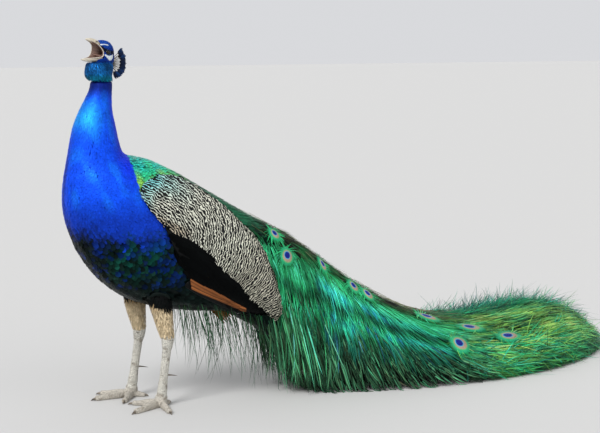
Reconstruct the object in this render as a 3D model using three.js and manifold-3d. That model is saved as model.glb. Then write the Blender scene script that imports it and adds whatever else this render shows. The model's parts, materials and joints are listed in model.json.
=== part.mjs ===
// Adult cock of the Indian peafowl, standing and calling, with the train laid out behind it.
// Millimetres, +Z up. The bird faces -Y and its left side is +X.
// The origin is on the floor, below the middle of the bird's own box.
import * as THREE from "three";
import { mergeVertices } from "three/addons/utils/BufferGeometryUtils.js";
import Module from "manifold-3d";

const wasm = await Module();
wasm.setup();

// Driving dimensions
const gap = 0.3; // clearance between touching sub-parts
const bodySides = 20;
const wingSteps = 6; // points across a wing, from its lower to its upper edge
const eyeRadius = 6.4;
const headTurn = 20; // degrees the head is turned to the bird's left
const neckAxis = { y: -110 }; // upright line that the head turns about
const eyeSet = { x: 14.8, y: -100.5, z: 925.5 };
const wingCrest = 44; // half distance between the upper edges of the folded wings
const wingTuck = 8; // how far the folded wing sinks into the flank
const edgeShare = 0.45; // a wing layer's thickness at its edges, as a share of that in its middle
const crestRoot = { y: -88, z: 896, strip: 16 }; // strip: how far behind it the crest leaves the nape
const crestReach = 61;
const crestFeathers = 9;
const ankleHeight = 27;
const toeWidth = 16;
const toeScale = { middle: 1.06, inner: 0.95, outer: 0.95, hind: 0.82 };
const clawLength = { middle: 15, inner: 15, outer: 15, hind: 11 };

// Slices through neck and trunk, front or belly point first, then nape or back point.
const bodySlices = [
  { low: [-137, 854], high: [-83, 854], wide: 26 },
  { low: [-143, 826], high: [-84, 832], wide: 30 },
  { low: [-168, 779], high: [-85, 785], wide: 40 },
  { low: [-188, 730], high: [-77, 739], wide: 52 },
  { low: [-203, 653], high: [-60, 670], wide: 66 },
  { low: [-216, 572], high: [-30, 657], wide: 88 },
  { low: [-212, 498], high: [10, 647], wide: 105 },
  { low: [-186, 425], high: [52, 628], wide: 114 },
  { low: [-146, 362], high: [95, 606], wide: 117 },
  { low: [-96, 313], high: [138, 580], wide: 116 },
  { low: [-30, 275], high: [183, 553], wide: 110 },
  { low: [50, 252], high: [228, 526], wide: 103 },
  { low: [130, 238], high: [275, 498], wide: 96 },
  { low: [215, 232], high: [332, 466], wide: 92 },
];

// Slices through the train. Flat is the share of a flat underside, shift the bend to the bird's right.
const trainSlices = [
  { low: [215, 232], high: [332, 466], wide: 92, shift: 0, flat: 0 },
  { low: [325, 170], high: [402, 426], wide: 98, shift: 0, flat: 0.15 },
  { low: [408, 80], high: [456, 392], wide: 106, shift: 0, flat: 0.55 },
  { low: [468, 0], high: [512, 352], wide: 112, shift: -4, flat: 1 },
  { low: [610, 0], high: [625, 272], wide: 156, shift: -6, flat: 1 },
  { low: [784, 0], high: [786, 188], wide: 196, shift: -16, flat: 1 },
  { low: [950, 0], high: [950, 150], wide: 226, shift: -46, flat: 1 },
  { low: [1142, 0], high: [1142, 140], wide: 252, shift: -106, flat: 1 },
  { low: [1320, 0], high: [1320, 140], wide: 240, shift: -168, flat: 1 },
  { low: [1452, 0], high: [1452, 104], wide: 182, shift: -208, flat: 1 },
  { low: [1546, 0], high: [1546, 30], wide: 84, shift: -226, flat: 1 },
];

// The swollen throat, from under the bill down to its overhanging lower edge.
const throatSlices = [
  { low: [-151, 902], high: [-76, 890], wide: 26 },
  { low: [-154, 885], high: [-81, 878], wide: 31 },
  { low: [-153, 867], high: [-86, 866], wide: 32 },
  { low: [-146, 858], high: [-84, 860], wide: 29.5 },
  { low: [-139, 854], high: [-83, 854], wide: 26.5 },
];

// Folded wing seen from its side: lower and upper edge from the shoulder to the tip.
const covertSlices = [
  { low: [-42, 566], high: [-48, 582] },
  { low: [-24, 538], high: [-12, 604] },
  { low: [8, 496], high: [35, 611] },
  { low: [55, 464], high: [85, 597] },
  { low: [105, 441], high: [140, 564] },
  { low: [149, 397], high: [190, 526] },
  { low: [192, 353], high: [240, 476] },
  { low: [240, 315], high: [285, 427] },
  { low: [285, 270], high: [313, 364] },
  { low: [322, 226], high: [338, 290] },
  { low: [339, 212], high: [348, 226] },
];

// Black secondaries, showing below the barred coverts.
const secondarySlices = [
  { low: [14, 481], high: [16, 490] },
  { low: [38, 425], high: [60, 460] },
  { low: [62, 375], high: [106, 438] },
  { low: [90, 338], high: [150, 394] },
  { low: [142, 308], high: [192, 350] },
  { low: [196, 273], high: [240, 312] },
  { low: [246, 243], high: [280, 270] },
  { low: [300, 224], high: [310, 232] },
];

// Rufous primaries, along the lower edge of the black ones.
const primarySlices = [
  { low: [72, 322], high: [84, 336] },
  { low: [100, 300], high: [118, 318] },
  { low: [160, 267], high: [171, 288] },
  { low: [215, 239], high: [223, 256] },
  { low: [262, 223], high: [268, 232] },
];

// Upper bill: cutting edge, then ridge.
const upperBillSlices = [
  { low: [-120, 939], high: [-117, 952.5], wide: 11 },
  { low: [-128, 946], high: [-127, 958], wide: 11.5 },
  { low: [-140, 952], high: [-139, 961.5], wide: 9 },
  { low: [-152, 957], high: [-152, 962], wide: 4.6 },
  { low: [-158, 958.5], high: [-158.5, 960], wide: 1 },
];

// Lower bill: cutting edge, then keel.
const lowerBillSlices = [
  { low: [-116, 913], high: [-116, 905], wide: 15 },
  { low: [-130, 911], high: [-130, 902.5], wide: 13.5 },
  { low: [-149, 911], high: [-150, 902.5], wide: 9.5 },
  { low: [-164, 910], high: [-164, 904], wide: 5 },
  { low: [-173, 910], high: [-173, 908], wide: 1 },
];

const legs = {
  left: {
    hip: [44, 14, 330],
    knee: [56, 26, 262],
    hock: [60, 41, 174],
    ankle: [62, 21, ankleHeight],
    toes: { middle: [30, 98], inner: [-32, 74], outer: [87, 84], hind: [-146, 33] },
  },
  right: {
    hip: [-44, -16, 330],
    knee: [-56, -10, 262],
    hock: [-62, 3, 180],
    ankle: [-71, -18, ankleHeight],
    toes: { middle: [4, 100], inner: [58, 74], outer: [-34, 84], hind: [152, 36] },
  },
};

const finishes = {
  neckBlue: { color: 0x0b2fc4, roughness: 0.45, metalness: 0.1 },
  throatTeal: { color: 0x0b4f9a, roughness: 0.5, metalness: 0.1 },
  bellyGreen: { color: 0x0c3a34, roughness: 0.6, metalness: 0.1 },
  barred: { color: 0xb9b2a0, roughness: 0.8, metalness: 0 },
  black: { color: 0x15151a, roughness: 0.6, metalness: 0 },
  rufous: { color: 0x9a5a34, roughness: 0.8, metalness: 0 },
  train: { color: 0x12744a, roughness: 0.5, metalness: 0.1 },
  sandy: { color: 0xbfa98c, roughness: 0.9, metalness: 0 },
  scaly: { color: 0xc4b7a8, roughness: 0.7, metalness: 0 },
  horn: { color: 0xb9ae96, roughness: 0.4, metalness: 0 },
  flesh: { color: 0x8a5a52, roughness: 0.5, metalness: 0 },
  eye: { color: 0x1a0f0a, roughness: 0.1, metalness: 0 },
};

// ---- Solids from rings of points ----

function signedVolume(points, faces) {
  const cross = new THREE.Vector3();
  const wedge = ([a, b, c]) => points[a].dot(cross.crossVectors(points[b], points[c])) / 6;
  return faces.reduce((sum, face) => sum + wedge(face), 0);
}

// A closed geometry as a manifold solid, with its faces turned outwards.
function solidOf(points, faces) {
  const outward = signedVolume(points, faces) > 0 ? faces : faces.map(([a, b, c]) => [a, c, b]);
  return new wasm.Manifold(
    new wasm.Mesh({
      numProp: 3,
      vertProperties: new Float32Array(points.flatMap((p) => [p.x, p.y, p.z])),
      triVerts: new Uint32Array(outward.flat()),
    }),
  );
}

// A skin over rings with equal numbers of points, closed by a fan at either end.
function loft(rings) {
  const count = rings[0].length;
  const points = rings.flat();
  const faces = [];
  for (let i = 0; i < rings.length - 1; i++) {
    for (let k = 0; k < count; k++) {
      const next = (k + 1) % count;
      const [a, b, c, d] = [i * count + k, i * count + next, (i + 1) * count + next, (i + 1) * count + k];
      faces.push([a, b, c], [a, c, d]);
    }
  }
  [0, rings.length - 1].forEach((i) => {
    const middle = rings[i].reduce((sum, p) => sum.add(p), new THREE.Vector3()).divideScalar(count);
    const tip = points.push(middle) - 1;
    for (let k = 0; k < count; k++) {
      const edge = [i * count + k, i * count + ((k + 1) % count)];
      faces.push(i ? [edge[0], edge[1], tip] : [edge[1], edge[0], tip]);
    }
  });
  return solidOf(points, faces);
}

// A three.js geometry as a manifold solid.
function solidFrom(geometry) {
  geometry.deleteAttribute("normal");
  geometry.deleteAttribute("uv");
  const merged = mergeVertices(geometry, 1e-4);
  return new wasm.Manifold(
    new wasm.Mesh({
      numProp: 3,
      vertProperties: merged.attributes.position.array,
      triVerts: new Uint32Array(merged.index.array),
    }),
  );
}

function union(solids) {
  return solids.reduce((sum, solid) => sum.add(solid));
}

function cut(solid, ...tools) {
  return tools.reduce((rest, tool) => rest.subtract(tool), solid);
}

// ---- Slices ----

// A smooth curve through b and c at share f between them, with a and d as their neighbours.
function curveValue([a, b, c, d], f) {
  return b + 0.5 * f * (c - a + f * (2 * a - 5 * b + 4 * c - d + f * (3 * (b - c) + d - a)));
}

// The slice at place t of a row of slices, on a smooth curve through all of them.
function sliceAt(slices, t) {
  const last = slices.length - 1;
  const i = Math.min(Math.floor(t), last - 1);
  const near = [i - 1, i, i + 1, i + 2].map((k) => slices[Math.min(Math.max(k, 0), last)]);
  const value = (read) => curveValue(near.map((slice) => read(slice) ?? 0), t - i);
  return {
    low: [value((s) => s.low[0]), value((s) => s.low[1])],
    high: [value((s) => s.high[0]), value((s) => s.high[1])],
    wide: value((s) => s.wide),
    shift: value((s) => s.shift),
    flat: THREE.MathUtils.clamp(value((s) => s.flat), 0, 1),
  };
}

// Where a slice's outline is, in half depths from low to high and in half widths.
// A round slice is an ellipse, a flat one a dome on a straight foot.
function outlineAt(turn, flat) {
  const side = Math.sign(Math.sin(turn)) || 1;
  const swing = Math.min(turn, 2 * Math.PI - turn);
  const foot = 0.76 * Math.PI;
  const dome =
    swing <= foot
      ? [2 * Math.cos((swing / foot) * (Math.PI / 2)) ** 1.15 - 1, Math.sin((swing / foot) * (Math.PI / 2))]
      : [-1, (Math.PI - swing) / (Math.PI - foot)];
  const along = THREE.MathUtils.lerp(Math.cos(swing), dome[0], flat);
  const across = THREE.MathUtils.lerp(Math.sin(swing), dome[1], flat);
  return [along, side * across];
}

function ringOf(slice, grow, sides = bodySides) {
  const low = new THREE.Vector3(slice.shift, ...slice.low);
  const high = new THREE.Vector3(slice.shift, ...slice.high);
  const middle = low.clone().add(high).multiplyScalar(0.5);
  const rise = high.clone().sub(middle);
  rise.setLength(rise.length() + grow);
  return Array.from({ length: sides }, (_, k) => {
    const [along, across] = outlineAt((2 * Math.PI * k) / sides, slice.flat);
    const point = middle.clone().addScaledVector(rise, along);
    point.x += across * (slice.wide + grow);
    point.z = Math.max(point.z, 0);
    return point;
  });
}

// A length of a body, from place a to place b of its slices, drawn in by half a gap at each end.
function bodyLength(slices, a, b, rings, grow = 0) {
  const made = Array.from({ length: rings }, (_, i) => {
    return ringOf(sliceAt(slices, a + ((b - a) * i) / (rings - 1)), grow);
  });
  const centre = (ring) => ring.reduce((sum, p) => sum.add(p), new THREE.Vector3()).divideScalar(ring.length);
  const drawIn = 1.6 * (gap / 2 - grow); // 1.6 makes up for slices that lean
  [[0, 1], [rings - 1, rings - 2]].forEach(([end, inner]) => {
    const step = centre(made[inner]).sub(centre(made[end])).setLength(drawIn);
    made[end].forEach((p) => p.add(step).setZ(Math.max(p.z, 0)));
  });
  return loft(made);
}

// Half width of the trunk and train at a point of their side view.
function flankAt(y, z) {
  let best = { off: Infinity, half: 0 };
  [bodySlices, trainSlices.slice(0, 5)].forEach((slices) => {
    for (let t = 0; t <= slices.length - 1; t += 0.05) {
      const s = sliceAt(slices, t);
      const low = new THREE.Vector2(...s.low);
      const rise = new THREE.Vector2(...s.high).sub(low).multiplyScalar(0.5);
      const from = new THREE.Vector2(y, z).sub(low).sub(rise);
      const half = rise.length();
      const off = Math.abs(from.cross(rise)) / half;
      const along = from.dot(rise) / half ** 2;
      if (off < best.off) best = { off, half: Math.abs(along) < 1 ? s.wide * Math.sqrt(1 - along ** 2) : 0 };
    }
  });
  return best.half;
}

// A layer of folded flight feathers lying on the flank: thick in the middle, thin at its edges.
function wingLayer(slices, lift, side, grow = 0) {
  const rings = [];
  const stepCount = Math.round((slices.length - 1) * 1.4);
  for (let i = 0; i <= stepCount; i++) {
    const s = sliceAt(slices, (i / stepCount) * (slices.length - 1));
    const low = new THREE.Vector2(...s.low);
    const high = new THREE.Vector2(...s.high);
    const stretch = 1 + (2 * grow) / low.distanceTo(high);
    const endTaper = Math.sqrt(Math.sin(Math.PI * THREE.MathUtils.lerp(0.08, 0.98, i / stepCount)));
    const outer = [];
    const inner = [];
    for (let k = 0; k < wingSteps; k++) {
      const share = k / (wingSteps - 1);
      const place = low.clone().lerp(high, 0.5 + (share - 0.5) * stretch);
      const bulge = Math.sin(Math.PI * share) ** 0.7 * endTaper;
      const flank = Math.hypot(flankAt(place.x, place.y), wingCrest) - wingTuck;
      const face = flank + lift * THREE.MathUtils.lerp(edgeShare, 1, bulge);
      outer.push(new THREE.Vector3(side * (face + grow), place.x, place.y));
      inner.unshift(new THREE.Vector3(side * (face - lift - wingTuck / 2 - grow), place.x, place.y));
    }
    rings.push([...outer, ...inner]);
  }
  return loft(rings);
}

// A round bar through points with their radii: across is along X, deep lies in the side view.
function limb(stations, sides, rings, grow = 0) {
  const path = new THREE.CatmullRomCurve3(stations.map((s) => new THREE.Vector3(...s.at)));
  const made = Array.from({ length: rings }, (_, i) => {
    const t = i / (rings - 1);
    const place = path.getPoint(t);
    const ahead = path.getTangent(t);
    const sideways = new THREE.Vector3(1, 0, 0).addScaledVector(ahead, -ahead.x).normalize();
    const forward = ahead.clone().cross(sideways);
    const row = t * (stations.length - 1);
    const j = Math.min(Math.floor(row), stations.length - 2);
    const radius = (name) => THREE.MathUtils.lerp(stations[j][name], stations[j + 1][name], row - j) + grow;
    return Array.from({ length: sides }, (_, k) => {
      const turn = (2 * Math.PI * k) / sides;
      return place
        .clone()
        .addScaledVector(sideways, radius("across") * Math.cos(turn))
        .addScaledVector(forward, radius("deep") * Math.sin(turn));
    });
  });
  return loft(made);
}

// ---- Head ----

// Distance from a point inside a lobe to its surface along a direction.
function exitDistance(from, direction, lobe) {
  const start = from.clone().sub(lobe.at).divide(lobe.radii);
  const step = direction.clone().divide(lobe.radii);
  const a = step.dot(step);
  const b = start.dot(step);
  const root = b * b - a * (start.dot(start) - 1);
  return root > 0 ? Math.max((-b + Math.sqrt(root)) / a, 0) : 0;
}

// A ball pushed out to the smooth union of lobes.
function lobedBall(from, lobes, columns, rows, grow = 0) {
  const ball = new THREE.SphereGeometry(1, columns, rows);
  const place = ball.attributes.position;
  const direction = new THREE.Vector3();
  const blend = 9;
  for (let i = 0; i < place.count; i++) {
    direction.fromBufferAttribute(place, i).normalize();
    const sum = lobes.reduce((total, lobe) => total + exitDistance(from, direction, lobe) ** blend, 0);
    direction.multiplyScalar(sum ** (1 / blend) + grow).add(from);
    place.setXYZ(i, direction.x, direction.y, direction.z);
  }
  return solidFrom(ball);
}

const headLobes = [
  { at: new THREE.Vector3(0, -99, 927), radii: new THREE.Vector3(20, 25.5, 28) },
  { at: new THREE.Vector3(0, -112, 936), radii: new THREE.Vector3(16.5, 20, 20.5) },
  { at: new THREE.Vector3(0, -112, 911), radii: new THREE.Vector3(20, 28, 17) },
  { at: new THREE.Vector3(0, -95, 908), radii: new THREE.Vector3(21, 20, 24) },
];

function headBall(grow = 0) {
  return lobedBall(new THREE.Vector3(0, -104, 922), headLobes, 18, 13, grow);
}

// The slanting plane between head and throat, as the solid below it.
function belowHead(drop) {
  const first = throatSlices[0];
  const slope = Math.atan2(first.high[1] - first.low[1], first.high[0] - first.low[0]);
  const block = new THREE.BoxGeometry(120, 160, 60);
  block.translate(0, 0, -30 - drop);
  block.rotateX(slope);
  block.translate(0, (first.low[0] + first.high[0]) / 2, (first.low[1] + first.high[1]) / 2);
  return solidFrom(block);
}

// A shape drawn in the side view, as a slab of the given depth about the middle plane.
function sideSlab(shape, depth) {
  const slab = new THREE.ExtrudeGeometry(shape, { depth, bevelEnabled: false, curveSegments: 5 });
  slab.translate(0, 0, -depth / 2);
  slab.applyMatrix4(new THREE.Matrix4().makeBasis(
    new THREE.Vector3(0, 1, 0),
    new THREE.Vector3(0, 0, 1),
    new THREE.Vector3(1, 0, 0),
  ));
  return solidFrom(slab);
}

// The open gape: the corners of the mouth, and the hollow of the mouth between the cheeks.
function gape() {
  const side = new THREE.Shape();
  side.moveTo(-114, 918.5);
  side.quadraticCurveTo(-114, 930, -120, 939);
  side.quadraticCurveTo(-130, 948, -154, 954);
  side.lineTo(-190, 960);
  side.lineTo(-190, 912.5);
  side.lineTo(-126, 912.5);
  side.quadraticCurveTo(-116, 913.5, -114, 918.5);
  const hollow = new THREE.SphereGeometry(1, 12, 8);
  hollow.scale(10.5, 14, 13);
  hollow.translate(0, -118.5, 926);
  return sideSlab(side, 60).add(solidFrom(hollow));
}

// One half of the bill: an arched shell, open towards the other half.
function billShell(slices, wall, grow = 0) {
  const sides = 6;
  const lengths = 6;
  const shares = Array.from({ length: sides + 1 }, (_, k) => k / sides);
  const rings = Array.from({ length: lengths + 1 }, (_, i) => {
    const s = sliceAt(slices, (i / lengths) * (slices.length - 1));
    const edge = new THREE.Vector3(0, ...s.low);
    const rise = new THREE.Vector3(0, ...s.high).sub(edge);
    edge.y += i ? 0 : grow;
    const height = rise.length();
    const arch = (share, wide, tall, foot) => {
      const turn = Math.PI * share;
      const place = edge.clone().addScaledVector(rise, (tall * Math.sin(turn) ** 0.8 - foot) / height);
      place.x = wide * Math.cos(turn);
      return place;
    };
    const outer = shares.map((share) => arch(share, s.wide + grow, height + 2 * grow, grow));
    const inside = Math.max(s.wide - wall, s.wide * 0.3);
    const hollow = grow ? 0 : height * 0.35;
    const inner = shares.slice(1, -1).reverse().map((share) => arch(share, inside, hollow, grow));
    return [...outer, ...inner];
  });
  return loft(rings);
}

function eyeBall(side, grow = 0) {
  const ball = new THREE.SphereGeometry(eyeRadius + grow, 10, 7);
  ball.translate(side * eyeSet.x, eyeSet.y, eyeSet.z);
  return solidFrom(ball);
}

function tongue(grow = 0) {
  return limb(
    [
      { at: [0, -103.5 + grow, 917], across: 6, deep: 2.2 },
      { at: [0, -116, 917], across: 6, deep: 2.4 },
      { at: [0, -130, 919.5], across: 4, deep: 1.7 },
      { at: [0, -139, 922.5], across: 1.2, deep: 0.8 },
    ],
    10,
    9,
    grow,
  );
}

// The crest: a fan of bare shafts that end in small paddles, growing from a strip down the nape.
// The lowest ones are the shortest.
function crest() {
  const strip = crestRoot.strip;
  const root = limb(
    [18, -3, -24].map((z) => ({ at: [0, crestRoot.y + strip, crestRoot.z + z], across: 1.5, deep: 1.5 })),
    6,
    3,
  );
  const feathers = Array.from({ length: crestFeathers }, (_, i) => {
    const share = i / (crestFeathers - 1);
    const turn = THREE.MathUtils.degToRad(THREE.MathUtils.lerp(-54, 37, share));
    const rise = Math.sin((Math.PI / 2) * Math.min(2 * share, 1));
    const reach = crestReach * THREE.MathUtils.lerp(0.82, 1, rise);
    const at = (r, lean) => [
      lean * Math.sin(i * 2.4),
      crestRoot.y + r * Math.cos(turn),
      crestRoot.z + r * Math.sin(turn),
    ];
    const shaft = [
      { at: at(strip / Math.cos(turn), 0), across: 1, deep: 1 },
      { at: at(reach * 0.76, 2), across: 0.8, deep: 0.8 },
    ];
    const paddle = [
      { at: at(reach * 0.7, 2), across: 0.8, deep: 0.9 },
      { at: at(reach * 0.84, 2.4), across: 1.6, deep: 4 },
      { at: at(reach * 0.95, 2.6), across: 1.4, deep: 3.4 },
      { at: at(reach, 2.7), across: 0.7, deep: 0.9 },
    ];
    return union([limb(shaft, 4, 2), limb(paddle, 6, 4)]);
  });
  return union([root, ...feathers]);
}

// ---- Legs ----

function thigh(leg, grow = 0) {
  const [hip, knee, hock] = [leg.hip, leg.knee, leg.hock];
  const calf = knee.map((v, i) => THREE.MathUtils.lerp(v, hock[i], 0.5));
  return limb(
    [
      { at: hip, across: 28, deep: 40 },
      { at: knee, across: 25, deep: 31 },
      { at: calf, across: 18, deep: 20 },
      { at: [hock[0], hock[1], hock[2] + 6], across: 12, deep: 13 },
    ],
    12,
    7,
    grow,
  );
}

// The bare shank: its top sits in a socket of the thigh.
function shank(leg, grow = 0) {
  const { hock, ankle } = leg;
  const at = (share) => hock.map((v, i) => THREE.MathUtils.lerp(v, ankle[i], share));
  const top = [hock[0], hock[1], hock[2] + 8 + grow];
  return limb(
    [
      { at: top, across: 11.5, deep: 12.5 },
      { at: at(0.06), across: 11.5, deep: 13.5 },
      { at: at(0.2), across: 8.6, deep: 10 },
      { at: at(0.55), across: 7.8, deep: 9.4 },
      { at: at(0.88), across: 8.4, deep: 9.8 },
      { at: [ankle[0], ankle[1], ankle[2] - 2], across: 9.6, deep: 10.6 },
    ],
    10,
    9,
    grow,
  );
}

function headingVector(degrees) {
  const turn = THREE.MathUtils.degToRad(degrees);
  return new THREE.Vector3(Math.sin(turn), -Math.cos(turn), 0);
}

// A toe is a row of pads with a flat sole: its half width and height swell at each joint.
function toe(root, heading, reach, scale) {
  const ahead = headingVector(heading);
  const sideways = new THREE.Vector3(-ahead.y, ahead.x, 0);
  const rings = [];
  const steps = 5;
  const sides = 8;
  for (let i = 0; i <= steps; i++) {
    const share = i / steps;
    const joint = 1 + 0.07 * Math.cos(share * 6 * Math.PI);
    const half = (toeWidth / 2) * scale * THREE.MathUtils.lerp(1.08, 0.62, share) * joint;
    const tall = half * THREE.MathUtils.lerp(2.5, 1.9, share);
    const centre = root.clone().addScaledVector(ahead, reach * share);
    rings.push(
      Array.from({ length: sides }, (_, k) => {
        const turn = (2 * Math.PI * k) / sides;
        const point = centre.clone().addScaledVector(sideways, half * Math.sin(turn));
        point.z = Math.max(tall * (0.4 + 0.6 * Math.cos(turn)), 0);
        return point;
      }),
    );
  }
  return loft(rings);
}

// The foot: its joint has a socket for the lower end of the shank.
function foot(leg) {
  const root = new THREE.Vector3(leg.ankle[0], leg.ankle[1] - 2, 0);
  const toes = Object.entries(leg.toes).map(([name, [heading, reach]]) => {
    return toe(root, heading, reach, toeScale[name]);
  });
  const joint = limb(
    [
      { at: [leg.ankle[0], leg.ankle[1] - 4, 4], across: 14, deep: 18 },
      { at: [leg.ankle[0], leg.ankle[1] - 2, 15], across: 12, deep: 14 },
      { at: leg.ankle, across: 12, deep: 13 },
    ],
    10,
    4,
  );
  const floor = solidFrom(new THREE.BoxGeometry(400, 400, 40).translate(...leg.ankle.slice(0, 2), -20));
  return cut(union([joint, ...toes]), floor, shank(leg, gap));
}

function claw(leg, name) {
  const [heading, reach] = leg.toes[name];
  const ahead = headingVector(heading);
  const root = new THREE.Vector3(leg.ankle[0], leg.ankle[1] - 2, 0).addScaledVector(ahead, reach + gap);
  const at = (share, z) => root.clone().addScaledVector(ahead, clawLength[name] * share).setZ(z).toArray();
  const path = [
    { at: at(0, 4.6), across: 3.4, deep: 3.6 },
    { at: at(0.4, 5), across: 2.7, deep: 2.9 },
    { at: at(0.75, 3.6), across: 1.7, deep: 1.8 },
    { at: at(1, 1.2), across: 0.6, deep: 0.7 },
  ];
  return clawBar(path, ahead);
}

// A tapering horn bar whose rings stay upright and face along the given direction.
function clawBar(stations, ahead) {
  const sideways = new THREE.Vector3(-ahead.y, ahead.x, 0).normalize();
  const rings = stations.map((s) => {
    return Array.from({ length: 6 }, (_, k) => {
      const turn = (2 * Math.PI * k) / 6;
      const point = new THREE.Vector3(...s.at).addScaledVector(sideways, s.across * Math.cos(turn));
      point.z = Math.max(point.z + s.deep * Math.sin(turn), 0.1);
      return point;
    });
  });
  return loft(rings);
}

// ---- Assembly ----

const trunk = [
  { name: "neck_upper", from: 0, to: 2, rings: 5, finish: "neckBlue" },
  { name: "neck_middle", from: 2, to: 3.5, rings: 4, finish: "neckBlue" },
  { name: "neck_lower", from: 3.5, to: 5, rings: 5, finish: "neckBlue" },
  { name: "breast", from: 5, to: 7.5, rings: 7, finish: "neckBlue" },
  { name: "trunk", from: 7.5, to: 10.5, rings: 7, finish: "bellyGreen" },
  { name: "rump", from: 10.5, to: 13, rings: 6, finish: "train" },
];

const train = [
  { name: "train_root", from: 0, to: 2.6, rings: 7, finish: "train" },
  { name: "train_middle", from: 2.6, to: 5, rings: 7, finish: "train" },
  { name: "train_outer", from: 5, to: 7.5, rings: 6, finish: "train" },
  { name: "train_tip", from: 7.5, to: 10, rings: 7, finish: "train" },
];

const grown = (slices, row) => bodyLength(slices, row.from, row.to, row.rings, gap);
const trunkTool = union([
  ...trunk.slice(2).map((row) => grown(bodySlices, row)),
  ...train.slice(0, 2).map((row) => grown(trainSlices, row)),
]);
const layers = {
  coverts: [covertSlices, 21],
  secondaries: [secondarySlices, 13],
  primaries: [primarySlices, 10],
};

const parts = [];
const add = (name, solid, finish, onHead = false) => parts.push({ name, solid, finish, onHead });

trunk.forEach((row) => add(row.name, bodyLength(bodySlices, row.from, row.to, row.rings), row.finish));
train.forEach((row) => add(row.name, bodyLength(trainSlices, row.from, row.to, row.rings), row.finish));

const upperTool = billShell(upperBillSlices, 2.6, gap);
const lowerTool = billShell(lowerBillSlices, 2.4, gap);
const eyeTools = [eyeBall(1, gap), eyeBall(-1, gap)];
const skull = cut(headBall(), belowHead(-gap / 2), gape());
add("head", cut(skull, upperTool, lowerTool, tongue(gap), ...eyeTools), "neckBlue", true);
add("throat", cut(bodyLength(throatSlices, 0, 4, 8), lowerTool), "throatTeal", true);
add("bill_upper", billShell(upperBillSlices, 2.6), "horn", true);
add("bill_lower", billShell(lowerBillSlices, 2.4), "horn", true);
add("tongue", tongue(), "flesh", true);
add("crest", crest(), "neckBlue", true);

Object.entries({ left: 1, right: -1 }).forEach(([word, side]) => {
  const leg = legs[word];
  add("eye_" + word, eyeBall(side), "eye", true);
  const covertTool = wingLayer(...layers.coverts, side, gap);
  const secondaryTool = wingLayer(...layers.secondaries, side, gap);
  const primaryTool = wingLayer(...layers.primaries, side, gap);
  const coverts = cut(wingLayer(...layers.coverts, side), trunkTool);
  const secondaries = cut(wingLayer(...layers.secondaries, side), trunkTool, covertTool);
  const primaries = cut(wingLayer(...layers.primaries, side), trunkTool, covertTool, secondaryTool);
  add("wing_coverts_" + word, coverts, "barred");
  add("wing_secondaries_" + word, secondaries, "black");
  add("wing_primaries_" + word, primaries, "rufous");
  add("thigh_" + word, cut(thigh(leg), trunkTool, secondaryTool, primaryTool, shank(leg, gap)), "sandy");
  add("shank_" + word, shank(leg), "scaly");
  add("foot_" + word, foot(leg), "scaly");
  Object.keys(leg.toes).forEach((name) => add("claw_" + name + "_" + word, claw(leg, name), "horn"));
});

function geometryOf(solid) {
  const mesh = solid.getMesh();
  const geometry = new THREE.BufferGeometry();
  geometry.setAttribute("position", new THREE.BufferAttribute(Float32Array.from(mesh.vertProperties), 3));
  geometry.setIndex(new THREE.BufferAttribute(Uint32Array.from(mesh.triVerts), 1));
  geometry.computeVertexNormals();
  return geometry;
}

const bird = new THREE.Group();
bird.name = "peacock";
const turnedHead = new THREE.Group();
turnedHead.position.y = neckAxis.y;
turnedHead.rotation.z = THREE.MathUtils.degToRad(headTurn);
bird.add(turnedHead);
parts.forEach(({ name, solid, finish, onHead }) => {
  const mesh = new THREE.Mesh(geometryOf(solid), new THREE.MeshStandardMaterial(finishes[finish]));
  mesh.name = name;
  if (onHead) {
    mesh.position.y = -neckAxis.y;
    turnedHead.add(mesh);
  } else {
    bird.add(mesh);
  }
});
bird.updateMatrixWorld(true);

const box = new THREE.Box3().setFromObject(bird);
bird.position.set(-(box.min.x + box.max.x) / 2, -(box.min.y + box.max.y) / 2, -box.min.z);
bird.updateMatrixWorld(true);

export default bird;
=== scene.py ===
import json
import math
import bpy
import numpy as np
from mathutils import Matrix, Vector
from mathutils.bvhtree import BVHTree

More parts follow.
